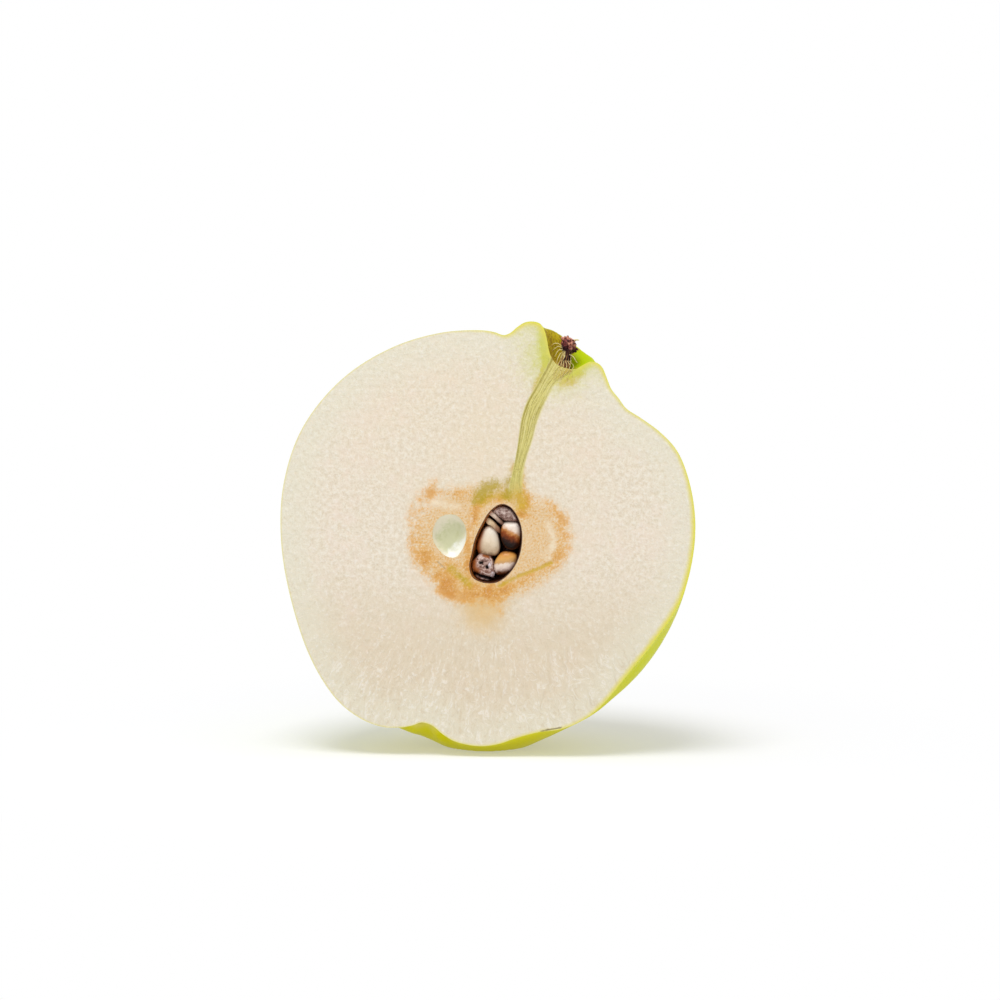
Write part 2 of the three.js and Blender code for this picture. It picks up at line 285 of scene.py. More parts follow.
def body_radius(turn, behind):
    """Distance from the heart to the skin, without the traced outline."""
    towards = direction(turn, behind)
    girth = GIRTH + sum(height * bell(turn, at, spread) for at, spread, height in SWELLINGS)
    power = ROUND + BASE_SQUARE * bell(turn, BASE_AT, BASE_SPREAD)
    across = (np.cos(np.radians(behind)) / girth) ** power
    into = (np.sin(np.radians(behind)) / DEPTH) ** power
    basin_off = angle_from(towards, direction(BASIN_AT, BASIN_BEHIND))
    basin = BASIN_DROP * np.exp(-((basin_off / BASIN_SPREAD) ** 2))
    return (across + into) ** (-1.0 / power) + neck_height(towards) - basin + rib_height(towards)


def smooth_curve(points, steps, closed=True):
    """Points along a centripetal Catmull-Rom curve through the given ones."""
    through = np.array(points, float)
    if not closed:
        through = np.vstack([2 * through[0] - through[1], through, 2 * through[-1] - through[-2]])
    count = len(through)
    spans = range(count) if closed else range(1, count - 2)
    t = (np.arange(steps) / steps)[:, None]
    rows = []
    for i in spans:
        a, b, c, d = (through[(i + k) % count] for k in (-1, 0, 1, 2))
        ab, bc, cd = (math.sqrt(np.linalg.norm(q - p)) for p, q in ((a, b), (b, c), (c, d)))
        leave = ((b - a) / ab - (c - a) / (ab + bc) + (c - b) / bc) * bc
        arrive = ((c - b) / bc - (d - b) / (bc + cd) + (d - c) / cd) * bc
        rows.append(b * (2 * t**3 - 3 * t**2 + 1) + leave * (t**3 - 2 * t**2 + t)
                    + c * (3 * t**2 - 2 * t**3) + arrive * (t**3 - t**2))
    if not closed:
        rows.append(through[-2:-1])
    return np.vstack(rows)


def ripple(points, across, shift=0.0):
    """Smooth noise, about -1 to 1, with bumps of that many millimetres."""
    return np.array([noise.noise(Vector(p)) for p in points / across + shift])


def bumps(points, kinds):
    return sum(height * ripple(points, across, shift) for height, across, shift in kinds)


def spot(flat, x, z, reach, power=2):
    """1 at one place in the face, fading out past its reach."""
    return np.exp(-((np.hypot(flat[:, 0] - x, flat[:, 1] - z) / reach) ** power))


def distance_to(points, line, closed=True):
    """Distance in the face from each point to a line of points, and how far along it that is."""
    ends = np.roll(line, -1, 0) if closed else line[1:]
    starts = line if closed else line[:-1]
    nearest = np.full(len(points), np.inf)
    along = np.zeros(len(points))
    for i, (a, b) in enumerate(zip(starts, ends)):
        run = b - a
        t = np.clip((points - a) @ run / max(run @ run, 1e-12), 0.0, 1.0)
        away = np.hypot(*(points - a - t[:, None] * run).T)
        along = np.where(away < nearest, i + t, along)
        nearest = np.minimum(nearest, away)
    return nearest, along


def inside(points, loop):
    """Which points lie inside a closed loop."""
    x, z = points.T
    count = np.zeros(len(points), int)
    for (ax, az), (bx, bz) in zip(loop, np.roll(loop, -1, 0)):
        if az == bz:
            continue
        crosses = (az > z) != (bz > z)
        count += crosses & (x < ax + (z - az) * (bx - ax) / (bz - az))
    return count % 2 == 1


def inset(loop, distance):
    """A closed loop moved inwards, for a loop that runs clockwise."""
    run = np.roll(loop, -1, 0) - np.roll(loop, 1, 0)
    length = np.hypot(*run.T)[:, None]
    return loop + np.stack([run[:, 1], -run[:, 0]], 1) / length * distance


def lean_back(points):
    """Turns points from the face's own frame to the part's, where the face leans."""
    x, y, z = np.moveaxis(points, -1, 0)
    c, s = math.cos(LEAN), math.sin(LEAN)
    return np.stack([x, y * c + z * s, z * c - y * s], -1)


def to_part(points):
    """From the frame of the cut face, in millimetres, to the part's frame, in metres."""
    return lean_back(points) * MM + np.array(FACE_MOUNT["pos_m"]) - lean_back(FACE_POINT) * MM


def flat_points(points):
    """Points of the face, x and z, as points in space."""
    return np.stack([points[:, 0], np.zeros(len(points)), points[:, 1]], 1)


def make_piece(name, points, faces, materials, kinds=None, fades=None):
    """A smooth mesh object from points in the frame of the cut face, riding on the fruit."""
    mesh = bpy.data.meshes.new(name)
    mesh.from_pydata(to_part(points).tolist(), [], faces)
    for material in materials:
        mesh.materials.append(material)
    if kinds is not None:
        mesh.polygons.foreach_set("material_index", kinds)
    place = mesh.attributes.new("place", "FLOAT_VECTOR", "POINT")
    place.data.foreach_set("vector", points.astype(np.float32).ravel())
    for label, values in (fades or {}).items():
        fade = mesh.attributes.new(label, "FLOAT", "POINT")
        fade.data.foreach_set("value", np.asarray(values, np.float32))
    mesh.shade_smooth()
    mesh.set_sharp_from_angle(angle=math.radians(CRISP))
    mesh.validate()
    piece = bpy.data.objects.new(name, mesh)
    bpy.context.scene.collection.objects.link(piece)
    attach(piece, "root")
    return piece


def grid_faces(first, second):
    """Quads between two closed rows of point numbers."""
    return np.stack([first, np.roll(first, -1), np.roll(second, -1), second], 1).tolist()


def cap_faces(row, pole):
    """Triangles from a closed row of point numbers to one point."""
    return np.stack([row, np.roll(row, -1), np.full(len(row), pole)], 1).tolist()


# Shading

class Wire:
    """One value in a material, with operators that add the nodes of a formula."""

    def __init__(self, tree, socket=None):
        self.tree = tree
        self.socket = socket

    def node(self, kind, settings=None, inputs=None, output=0):
        """Adds a node: its settings first, then the values or links of its sockets."""
        made = self.tree.nodes.new(kind)
        for name, value in (settings or {}).items():
            if name == "stops":
                self._set_stops(made.color_ramp.elements, value)
            else:
                setattr(made, name, value)
        for name, value in (inputs or {}).items():
            if isinstance(value, Wire):
                self.tree.links.new(value.socket, made.inputs[name])
            else:
                made.inputs[name].default_value = value
        return Wire(self.tree, made.outputs[output] if len(made.outputs) else None)

    @staticmethod
    def _set_stops(elements, stops):
        while len(elements) < len(stops):
            elements.new(1.0)
        for element, (at, shade) in zip(elements, stops):
            element.position = at
            element.color = (*shade, 1.0)

    def maths(self, operation, *values):
        return self.node("ShaderNodeMath", {"operation": operation}, dict(enumerate(values)))

    def __add__(self, other):
        return self.maths("ADD", self, other)

    __radd__ = __add__

    def __sub__(self, other):
        return self.maths("SUBTRACT", self, other)

    def __rsub__(self, other):
        return self.maths("SUBTRACT", other, self)

    def __mul__(self, other):
        return self.maths("MULTIPLY", self, other)

    __rmul__ = __mul__

    def __truediv__(self, other):
        return self.maths("DIVIDE", self, other)

    def __rtruediv__(self, other):
        return self.maths("DIVIDE", other, self)

    def root(self):
        return self.maths("SQRT", self)

    def at_most(self, other):
        return self.maths("MINIMUM", self, other)

    def ease(self, low, high):
        """0 below low, 1 above high and smooth between; low may be the greater."""
        return self.node(
            "ShaderNodeMapRange", {"interpolation_type": "SMOOTHSTEP"},
            {"Value": self, "From Min": low, "From Max": high})

    def fade(self, name):
        return self.node("ShaderNodeAttribute", {"attribute_name": name}, output="Fac")

    def place(self):
        return self.node("ShaderNodeAttribute", {"attribute_name": "place"}, output="Vector")

    def split(self):
        return [self.node("ShaderNodeSeparateXYZ", {}, {0: self}, output=i) for i in range(3)]

    def join(self, x, y, z):
        return self.node("ShaderNodeCombineXYZ", {}, {0: x, 1: y, 2: z})

    def grain(self, vector, per_mm, detail=2.0, roughness=0.5):
        """Noise from 0 to 1 with that many bumps to the millimetre."""
        return self.node(
            "ShaderNodeTexNoise", {},
            {"Vector": vector, "Scale": per_mm, "Detail": detail, "Roughness": roughness})

    def spots(self, vector, per_mm):
        """Distance to the nearest of the scattered points, in cells."""
        return self.node("ShaderNodeTexVoronoi", {}, {"Vector": vector, "Scale": per_mm})

    def paint(self, under, over, share):
        """One colour over another by a share from 0 to 1."""
        under, over = (c if isinstance(c, Wire) else (*c, 1.0) for c in (under, over))
        return self.node("ShaderNodeMix", {"data_type": "RGBA"}, {0: share, 6: under, 7: over}, 2)

    def coats(self, under, *layers):
        """A colour with others painted over it in turn, each given with its share."""
        for over, share in layers:
            under = self.paint(under, over, share)
        return under

    def bump(self, height, deep):
        return self.node("ShaderNodeBump", {}, {"Strength": 1.0, "Distance": deep, "Height": height})


def finish_material(name, build, **constants):
    """A material whose varying sockets come from build(wire) as a dict."""
    material = bpy.data.materials.new(name)
    material.use_nodes = True
    tree = material.node_tree
    tree.nodes.clear()
    start = Wire(tree)
    shader = start.node("ShaderNodeBsdfPrincipled", {}, {**constants, **build(start)})
    start.node("ShaderNodeOutputMaterial", {}, {"Surface": shader})
    return material


class CutFace:
    """Colours of the cut face, laid over one another from the bare flesh up."""

    def __init__(self, wire, look):
        self.wire, self.look = wire, look
        place = wire.place()
        self.x, _, self.z = place.split()
        self.clouds = wire.grain(place, 0.06, 2.0)
        self.blotches = wire.grain(place, 0.30, 2.0, 0.6)
        self.coarse = wire.grain(place, 0.75, 3.0, 0.7)
        self.granules = wire.grain(place, 1.1, 3.0, 0.7)
        self.fine = wire.grain(place, 2.0, 4.0, 0.8)
        self.crumbs = wire.grain(place, 2.4, 3.0, 0.8)
        self.ragged = (self.fine - 0.5) * 5.0 + (self.coarse - 0.5) * 4.0
        self.speckle = (self.fine - 0.5) * 5.0 + (self.crumbs - 0.5) * 5.0

    def frayed(self, stain, amount, reach):
        """A stain with a ragged outline, as far as the stain itself reaches."""
        return stain + self.ragged * amount * stain.ease(0.0, reach)

    def flesh(self):
        """Bare flesh: granules, and low down the fibres of the fan."""
        wire, look = self.wire, self.look
        right, up = self.x - FAN_MIDDLE[0], self.z - FAN_MIDDLE[1]
        far = (right * right + up * up).root() + 0.01
        bend = (self.blotches - 0.5) * 7.0
        fan = wire.join(right / far * FAN_FIBRES + bend, far * 0.22, up / far * FAN_FIBRES + bend)
        streaks = wire.grain(fan, 1.0, 3.0, 0.75)
        low = self.z.ease(38.0, 12.0) * (0.5 + self.blotches)
        grains = self.granules * (0.62 - 0.52 * low) + self.crumbs * (0.38 - 0.28 * low)
        self.texture = streaks * (0.80 * low) + grains
        warmth = (1.0 - far / 40.0) * 0.6 + (self.clouds - 0.5) + low * 0.35
        return wire.coats(
            look.flesh_low,
            (look.flesh, self.texture.ease(0.42, 0.56)),
            (look.flesh_pink, (self.clouds * 0.5 + self.blotches * 0.5).ease(0.46, 0.64) * 0.6),
            (look.flesh_warm, warmth.ease(0.0, 1.0) * 0.75),
            (look.flesh_foot, (self.z + (self.blotches - 0.5) * 14.0).ease(42.0, 20.0) * 0.6),
            (look.flesh_cool, wire.fade("to_edge").ease(11.0, 1.0) * 0.6),
            (look.fibre, self.texture.ease(0.52, 0.62) * (0.4 + 0.1 * low)),
            (look.flesh_shade, self.texture.ease(0.46, 0.36) * (0.35 + 0.15 * low)),
        )

    def core(self, shade):
        """The smear, the halo and the stains round the core, with their specks."""
        wire, look = self.wire, self.look
        halo, gold, olive, milk = (wire.fade(name) for name in ("halo", "gold", "olive", "milk"))
        smear = wire.fade("smear") + (self.coarse - 0.5) * 0.8
        rust = wire.fade("rust") * (self.blotches * 3.4 - 0.8)
        patchy = rust + (self.ragged * 0.20 + self.speckle * 0.08) * rust.ease(0.0, 0.3)
        self.near = halo.ease(0.1, 0.9) * (1.0 - 0.8 * (olive + gold).at_most(1.0))
        return wire.coats(
            shade,
            (look.smear, smear.ease(0.0, 0.9) * 0.85),
            (look.halo, (halo + self.ragged * 0.25).ease(0.1, 1.0) * 0.85),
            (look.amber, self.speckle.ease(-0.3, 1.0) * self.near * (0.3 + self.blotches)),
            (look.amber, patchy.ease(0.0, 0.7) * 0.75),
            (look.rust, patchy.ease(0.3, 1.3) * 0.85),
            (look.gold, self.frayed(gold, 0.25, 0.4).ease(0.05, 0.95) * 0.85),
            (look.olive, self.frayed(olive, 0.3, 0.4).ease(0.05, 1.0) * 0.85),
            (look.milk, self.frayed(milk, 0.4, 0.3).ease(0.15, 0.9) * 0.8),
            (look.milk, self.speckle.ease(-0.3, -1.1) * self.near * 0.45),
            (look.fleck, self.speckle.ease(0.7, 1.2) * self.near * 0.5),
        )

    def strand(self, shade):
        """The strand: its pale sides, its fibres and the dark lines at its edges."""
        wire, look = self.wire, self.look
        body, edge = wire.fade("strand"), wire.fade("strand_edge")
        side, run = wire.fade("strand_side"), wire.fade("strand_run")
        self.lines = wire.grain(wire.join(side * 7.0, run * 0.05, 0.0), 1.0, 4.0, 0.85)
        specked = self.lines + self.speckle * 0.02
        fibres = wire.coats(
            look.strand_dark,
            (look.strand, specked.ease(0.41, 0.49)),
            (look.strand_pale, specked.ease(0.51, 0.58) * (0.4 + 0.45 * run.ease(2.0, 16.0))),
            (look.strand_tan, (self.coarse + side * 0.2).ease(0.5, 0.7) * run.ease(14.0, 2.0) * 0.8),
        )
        body = self.frayed(body, 0.07 + 0.16 * run.ease(16.0, 4.0), 0.3)
        self.cover = body.ease(0.25, 0.7) * (run + self.ragged * 3.0).ease(60.0, 48.0)
        return wire.coats(
            shade,
            (look.strand_pale, body.ease(0.0, 0.45) * run.ease(58.0, 48.0) * 0.75),
            (fibres, self.cover * 0.85),
            (look.strand_dark, edge * self.lines.ease(0.30, 0.50) * run.ease(50.0, 40.0) * 0.85),
        )

    def borders(self, shade):
        """Greenish flesh in the neck, the pale rim along the peel and the cavity's brown lip."""
        wire, look = self.wire, self.look
        bare = 1.0 - self.cover
        neck = wire.fade("neck_tint") + self.ragged * 0.1
        rim = wire.fade("rim_reach")
        away = wire.fade("to_edge") / rim
        pale = (away + (self.coarse - 0.5) * 0.8).ease(1.5, 0.2)
        lip = (wire.fade("to_cavity") + (self.fine - 0.5) * 0.15).ease(0.26, 0.10)
        return wire.coats(
            shade,
            (look.neck_flesh, neck.ease(0.1, 0.75) * bare * 0.9),
            (look.rim_pale, pale * (0.1 + 0.85 * rim).at_most(0.95) * bare),
            (look.rim, away.ease(0.45, 0.1) * (0.1 + 0.6 * rim).at_most(0.85) * bare),
            # Brown stain lines, and the painted shade line along the lower cut edge.
            (look.brown, wire.fade("brown").ease(0.1, 0.9) * 0.75),
            (look.brown, lip),
        )


def flesh_material(look):
    def build(wire):
        face = CutFace(wire, look)
        shade = face.borders(face.strand(face.core(face.flesh())))
        height = face.texture * 1.2 + face.near * face.fine * 0.8 + face.cover * face.lines * 0.8
        return {
            "Base Color": shade,
            "Roughness": 0.42 + 0.25 * face.granules,
            "Normal": wire.bump(height, look.flesh_grain),
        }

    return finish_material(
        "flesh", build, **{"Subsurface Weight": 0.08, "Subsurface Radius": (1.0, 0.8, 0.6),
                           "Subsurface Scale": 0.001, "Specular IOR Level": 0.35})


def chamber_material(look):
    def build(wire):
        place = wire.place()
        x, y, z = place.split()
        patches = wire.grain(place, 0.5, 3.0, 0.6)
        fine = wire.grain(place, 2.0, 3.0, 0.7)
        corner = (x - CHAMBER_MIDDLE[0]) * 0.14 - (z - CHAMBER_MIDDLE[1]) * 0.16
        deep = (y * (MM / look.chamber_depth) + (patches - 0.5) * 0.8).ease(0.3, 0.9)
        shade = wire.coats(
            look.chamber_rim,
            (look.chamber, deep),
            (look.chamber_shade, (patches * 0.85 + fine * 0.15).ease(0.48, 0.66) * deep * 0.7),
            # Painted highlight on the lower right wall, which faces the light.
            (look.chamber_painted_highlight, (corner + (patches - 0.5) * 0.9).ease(0.30, 0.62) * 0.9),
            (look.chamber_rim, (corner + (fine - 0.5) * 0.8).ease(-0.2, -0.9) * 0.8),
        )
        return {
            "Base Color": shade,
            "Roughness": 0.25 + 0.2 * fine,
            "Normal": wire.bump(patches, look.wall_grain),
        }

    return finish_material(
        "chamber_wall", build, **{"Coat Weight": 0.3, "Coat Roughness": 0.15, "Subsurface Weight": 0.15,
                                  "Subsurface Radius": (0.8, 0.9, 0.6), "Subsurface Scale": 0.001})


def cavity_material(look):
    def build(wire):
        place = wire.place()
        x, y, z = place.split()
        wrinkles = wire.grain(place, 0.9, 3.0, 0.6)
        # Painted light: the upper left wall is warmer and lighter near the face.
        warm = (x * -0.3 + (z - CAVITY_WARM_ABOVE) * 0.10 + (wrinkles - 0.5)).ease(-0.3, 0.5)
        shade = wire.coats(
            look.cavity,
            (look.cavity_warm_painted_light, warm * y.ease(5.0, 0.8)),
            # Painted shade: the wall darkens deeper down in the cavity.
            (look.cavity_deep_painted_shade, y.ease(2.5, 6.5)),
        )
        return {
            "Base Color": shade,
            "Roughness": 0.3 + 0.3 * wrinkles,
            "Normal": wire.bump(wrinkles, look.wall_grain),
        }

    return finish_material(
        "cavity_wall", build, **{"Coat Weight": 0.1, "Coat Roughness": 0.3, "Specular IOR Level": 0.2})


def peel_material(look):
    def build(wire):
        place = wire.place()
        _, y, z = place.split()
        broad = wire.grain(place, 0.022, 1.0)
        middle = wire.grain(place, 0.1, 2.0, 0.5)
        fine = wire.grain(place, 0.8, 3.0, 0.6)
        pores = wire.spots(place, 0.5).ease(0.13, 0.04) * wire.grain(place, 0.25).ease(0.45, 0.65)
        shade = open_peel(wire, look, broad, middle, fine)
        # Painted light: the low peel, which lies in shade, is painted a brighter yellow.
        shade = wire.coats(shade, (look.peel_mottle_and_painted_light, z.ease(24.0, 2.0) * 0.7), (look.pore, pores * 0.4))
        shade = neck_peel(wire, look, shade, broad, middle, fine)
        basin = wire.fade("basin_off") + (middle - 0.5) * 3.0
        shade = wire.coats(
            shade,
            (look.peel_tan, basin.ease(8.0, 3.0) * 0.5),
            (look.pit_brown, basin.ease(3.6, 1.2) * 0.7),
        )
        return {
            "Base Color": shade,
            "Roughness": 0.34 + 0.12 * fine,
            "Coat Weight": y.ease(3.0, 14.0) * 0.25,
            "Normal": wire.bump(fine * 0.6 + middle * 0.4 - pores * 0.4, look.peel_grain),
        }

    return finish_material("peel", build, **{"Coat Roughness": 0.32, "Specular IOR Level": 0.04})


def open_peel(wire, look, broad, middle, fine):
    """Green peel that ripens to yellow towards the right and the stem, with mottling."""
    x, _, z = wire.place().split()
    ripe = broad * 0.6 + x * 0.003 + z * 0.001 + middle * 0.12
    return wire.coats(
        look.peel_green,
        (look.peel, ripe.ease(0.28, 0.45)),
        (look.peel_ripe, ripe.ease(0.42, 0.62)),
        (look.peel_pale, (fine * 0.7 + middle * 0.3).ease(0.5, 0.72) * 0.3),
        (look.peel_mottle_and_painted_light, (fine * 0.6 + middle * 0.4).ease(0.46, 0.32) * 0.3),
    )


def neck_peel(wire, look, shade, broad, middle, fine):
    """Tan peel round the neck, and the pit: green on its right, olive and brown on its left."""
    off = wire.fade("neck_off")
    band = off + (middle - 0.5) * 14.0
    tan = band.ease(8.0, 13.0) * band.ease(30.0, 15.0) * (broad + fine * 0.5).ease(0.45, 0.85)
    pit = off.ease(PIT_CREST + 0.4, PIT_CREST - 1.2)
    olive = pit * (wire.fade("neck_left") + (fine - 0.5) * 0.8).ease(-0.35, 0.15)
    crust = wire.grain(wire.place(), 1.8, 4.0, 0.8) * 0.7 + fine * 0.3
    return wire.coats(
        shade,
        (look.peel_tan, tan * 0.75),
        (look.pit_green, pit),
        (look.pit_olive, olive),
        (look.pit_brown, olive * crust.ease(0.45, 0.56) * 0.7),
        (look.pit_floor, (off + (fine - 0.5) * 4.0).ease(5.4, 3.4) * 0.9),
        (look.pit_brown, (off + fine * 2.0).ease(2.6, 1.2) * 0.4),
    )


def seed_material(look, seed):
    """A seed's coat: its stops of colour from the upper end to the lower, gloss, grit and marks."""
    gloss, worn = seed["gloss"], seed["worn"]
    stops = [(at, linear(*screen)) for at, *screen in seed["stops"]]

    def build(wire):
        place = wire.place()
        mottle = wire.grain(place, 1.3, 3.0, 0.6)
        grit = wire.grain(place, 1.9, 3.0, 0.75)
        rough = grit * 0.7 + mottle * 0.3
        along = wire.fade("along") + (mottle - 0.5) * 0.28
        shade = wire.coats(
            wire.node("ShaderNodeValToRGB", {"stops": stops}, {"Fac": along}),
            # Painted shade on the flanks, away from the front.
            (look.side, wire.fade("side").ease(0.3, 1.0) * 0.85),
            (look.grit_dark, rough.ease(0.50, 0.58) * worn),
            (look.grit_pale, rough.ease(0.49, 0.42) * worn ** 1.5),
            # Dried gum, and on the whole seed painted shade down its left side.
            (look.amber, wire.fade("amber")),
            (look.crumbs, wire.fade("crumbs") * grit.ease(0.42, 0.54) * 0.8),
            # Painted shade: near black in the holes and slots.
            (look.holes, wire.fade("holes")),
        )
        return {
            "Base Color": shade,
            "Roughness": (0.62 - 0.4 * gloss) + 0.2 * grit,
            "Normal": wire.bump(grit * 0.4 + mottle * 0.6, look.grain + look.wear * worn),
        }

    return finish_material(
        seed["name"] + "_coat", build,
        **{"Coat Weight": 0.6 * gloss, "Coat Roughness": 0.2, "Specular IOR Level": 0.15})


def stub_material(look):
    def build(wire):
        place = wire.place()
        x, y, z = place.split()
        right, up = x - KNOB_MIDDLE[0], z - KNOB_MIDDLE[1]
        crumple = wire.grain(place, 1.1, 4.0, 0.65)
        broad = wire.grain(place, 0.5, 1.0)
        fibres = wire.grain(wire.join(x * 3.0, y * 3.0, z * 0.5), 1.0, 3.0)
        # Pink ridges with a painted highlight, lighter towards the top and the right.
        ridges_and_light = crumple * 0.5 + broad * 0.35 + fibres * 0.15 + up * 0.025 + right * 0.02
        knob = wire.coats(
            # Painted shade in the folds.
            look.stub_dark_and_painted_shade,
            (look.stub, crumple.ease(0.38, 0.58)),
            (look.stub_pink_and_painted_highlight, ridges_and_light.ease(0.47, 0.60) * 0.9),
            # Painted shade under the knob.
            (look.stub_dark_and_painted_shade, (up + broad * 2.0 + right * 0.3).ease(0.3, -0.5) * 0.9),
        )
        # Dark brown fibres, with painted shade in the gaps between them.
        column = wire.paint(look.fibre_dark_and_gap_shade, look.fibre_tan, fibres.ease(0.36, 0.62))
        return {
            "Base Color": wire.paint(column, knob, wire.fade("knob")),
            "Roughness": 0.6 + 0.3 * crumple,
            "Normal": wire.bump(crumple + fibres * 0.6, look.grain),
        }

    return finish_material("stub_bark", build, **{"Specular IOR Level": 0.3})


def fibre_material(look):
    def build(wire):
        streak = wire.grain(wire.place(), 2.2, 3.0)
        shade = wire.paint(look.fibre_tan, look.fibre_pale, streak.ease(0.35, 0.5))
        return {"Base Color": shade, "Roughness": 0.6 + 0.2 * streak}

    return finish_material("stub_fibre", build)


def floor_material(look):
    """Matt by the fruit, so that it takes the shadow, and evenly lit further out."""
    material = bpy.data.materials.new("pale_floor")
    material.use_nodes = True
    material.node_tree.nodes.clear()
    start = Wire(material.node_tree)
    x, y, _ = start.node("ShaderNodeTexCoord", output="Object").split()
    out = (x * x + y * y).root().ease(FLOOR_NEAR, FLOOR_FAR)
    lit = out * (1 - look.glow) + look.glow
    matt = start.node("ShaderNodeBsdfDiffuse", {}, {"Color": (*look.floor, 1)})
    glow = start.node("ShaderNodeEmission", {}, {"Color": (1, 1, 1, 1), "Strength": 1.0})
    mixed = start.node("ShaderNodeMixShader", {}, {0: lit, 1: matt, 2: glow})
    start.node("ShaderNodeOutputMaterial", {}, {"Surface": mixed})
    return material


def white_room(look):
    """A world that the camera sees as white, and that lights the fruit less."""
    world = bpy.data.worlds.new("white_room")
    world.use_nodes = True
    world.node_tree.nodes.clear()
    start = Wire(world.node_tree)
    seen = start.node("ShaderNodeLightPath", output="Is Camera Ray")
    strength = seen * (1.0 - look.sky) + look.sky
    light = start.node("ShaderNodeBackground", {}, {"Color": (1, 1, 1, 1), "Strength": strength})
    start.node("ShaderNodeOutputWorld", {}, {"Surface": light})
    return world


# Pieces

def fruit_mesh(cavity_depth, chamber_depth):
    """Points, faces, kinds of face and fades of the fruit half."""
    edge = smooth_curve(CUT_EDGE, EDGE_STEPS)
    cavity = smooth_curve(CAVITY_EDGE, BOWL_STEPS)
    chamber = smooth_curve(CHAMBER_EDGE, BOWL_STEPS)
    flat, triangles = cut_face(edge, cavity, chamber, face_points(edge, cavity, chamber))
    skin, skin_faces = skin_mesh(edge, len(flat))
    points = [face_relief(flat, edge, cavity, chamber), skin]
    faces = [triangles, skin_faces]
    start, count = len(edge), len(flat) + len(skin)
    for loop, depth, lump, lean in (
            (cavity, cavity_depth, CAVITY_LUMPS, 0.0),
            (chamber, chamber_depth, CHAMBER_LUMPS, CHAMBER_LEAN)):
        rim = np.arange(start, start + len(loop))
        wall, wall_faces = bowl(rim, loop, depth, count, lump, lean)
        points.append(wall)
        faces.append(wall_faces)
        start += len(loop)
        count += len(wall)
    kinds = [kind for kind, added in enumerate(faces) for _ in added]
    faces = [face for added in faces for face in added]
    points = np.vstack(points)
    return points, faces, kinds, fruit_fades(points, len(flat), len(skin), edge, cavity, chamber)


def skin_mesh(edge, start):
    """The peel, in rows from the cut's edge to the middle of the back."""
    columns = len(edge)
    spokes = flat_points(edge) - HEART
    turn = np.degrees(np.arctan2(spokes[:, 0], spokes[:, 2]))
    traced = np.hypot(spokes[:, 0], spokes[:, 2]) - body_radius(turn, np.zeros(columns))
    fade = EDGE_FADE + (NECK_FADE - EDGE_FADE) * bell(turn, NECK_AT, NECK_SPREAD)
    behind = 90.0 * (np.arange(1, SKIN_ROWS) / SKIN_ROWS) ** ROW_SPREAD
    turns, behinds = np.broadcast_arrays(turn, behind[:, None])
    radius = body_radius(turns, behinds) + traced * np.exp(-((behinds / fade) ** 2))
    towards = direction(turns, behinds).reshape(-1, 3)
    radius = radius.ravel() + skin_relief(towards, behinds.ravel())
    skin = np.vstack([HEART + towards * radius[:, None], HEART + [0.0, DEPTH, 0.0]])
    floor = FLOOR_AT_FACE + skin[:, 1] * math.tan(LEAN)
    skin[:, 2] = np.maximum(skin[:, 2], floor)
    rows = [np.arange(columns)]
    rows += [start + columns * i + np.arange(columns) for i in range(SKIN_ROWS - 1)]
    faces = []
    for upper, lower in zip(rows, rows[1:]):
        faces += grid_faces(lower, upper)
    faces += cap_faces(rows[-1][::-1], start + len(skin) - 1)
    return skin, faces


def face_points(edge, cavity, chamber):
    """Points inside the cut face: closer together round the core, the strand and the edges."""
    rng = np.random.default_rng(7)
    low, high = edge.min(0), edge.max(0)
    rows = np.arange(low[1], high[1], FINE * math.sqrt(3) / 2)
    columns = np.arange(low[0], high[0], FINE)
    j, i = np.meshgrid(np.arange(len(rows)), np.arange(len(columns)), indexing="ij")
    spread = np.stack([columns[i] + (j % 2) * FINE / 2, rows[j]], -1).reshape(-1, 2)
    sparse = ((j % 2 == 0) & (i % 2 == (j // 2) % 2)).ravel()
    strand = smooth_curve([s[:2] for s in STRAND], 4, closed=False)
    wanted = np.hypot(*(spread - CORE_MIDDLE).T) < CORE_REACH
    wanted |= distance_to(spread, strand, closed=False)[0] < STRAND_REACH
    spread = spread[wanted | sparse]
    spread = spread + rng.uniform(-0.12, 0.12, spread.shape) * FINE
    keep = inside(spread, edge) & (distance_to(spread, edge)[0] > 0.9 * FINE)
    for loop in (cavity, chamber):
        keep &= ~inside(spread, loop) & (distance_to(spread, loop)[0] > 0.6 * FINE)
    rings = [inset(edge, distance) for distance in EDGE_RINGS]
    rings += [inset(loop, -BOWL_RING) for loop in (cavity, chamber)]
    rings = np.vstack(rings)
    good = inside(rings, edge) & (distance_to(rings, edge)[0] > 0.08)
    for loop in (cavity, chamber):
        good &= ~inside(rings, loop) & (distance_to(rings, loop)[0] > 0.06)
    return np.vstack([spread[keep], rings[good]])


def cut_face(edge, cavity, chamber, face):
    """Triangles over the cut face, with the cavity and the chamber left open."""
    loops = [edge, cavity, chamber]
    flat = np.vstack([*loops, face])
    borders = []
    start = 0
    for loop in loops:
        numbers = start + np.arange(len(loop))
        borders += np.stack([numbers, np.roll(numbers, -1)], 1).tolist()
        start += len(loop)
    made = geometry.delaunay_2d_cdt([Vector(p) for p in flat], borders, [], 0, 1e-6, True)
    if len(made[0]) != len(flat):
        raise RuntimeError("the cut face's outline crosses itself")
    triangles = np.array(made[2])
    middles = np.array([tuple(v) for v in made[0]])[triangles].mean(1)
    keep = inside(middles, edge) & ~inside(middles, cavity) & ~inside(middles, chamber)
    order = np.array([ids[0] for ids in made[3]])
    triangles = order[triangles[keep]]
    a, b, c = (flat[triangles[:, k]] for k in range(3))
    turned = (b - a)[:, 0] * (c - a)[:, 1] - (b - a)[:, 1] * (c - a)[:, 0] < 0
    triangles[turned] = triangles[turned][:, ::-1]
    return flat, triangles.tolist()


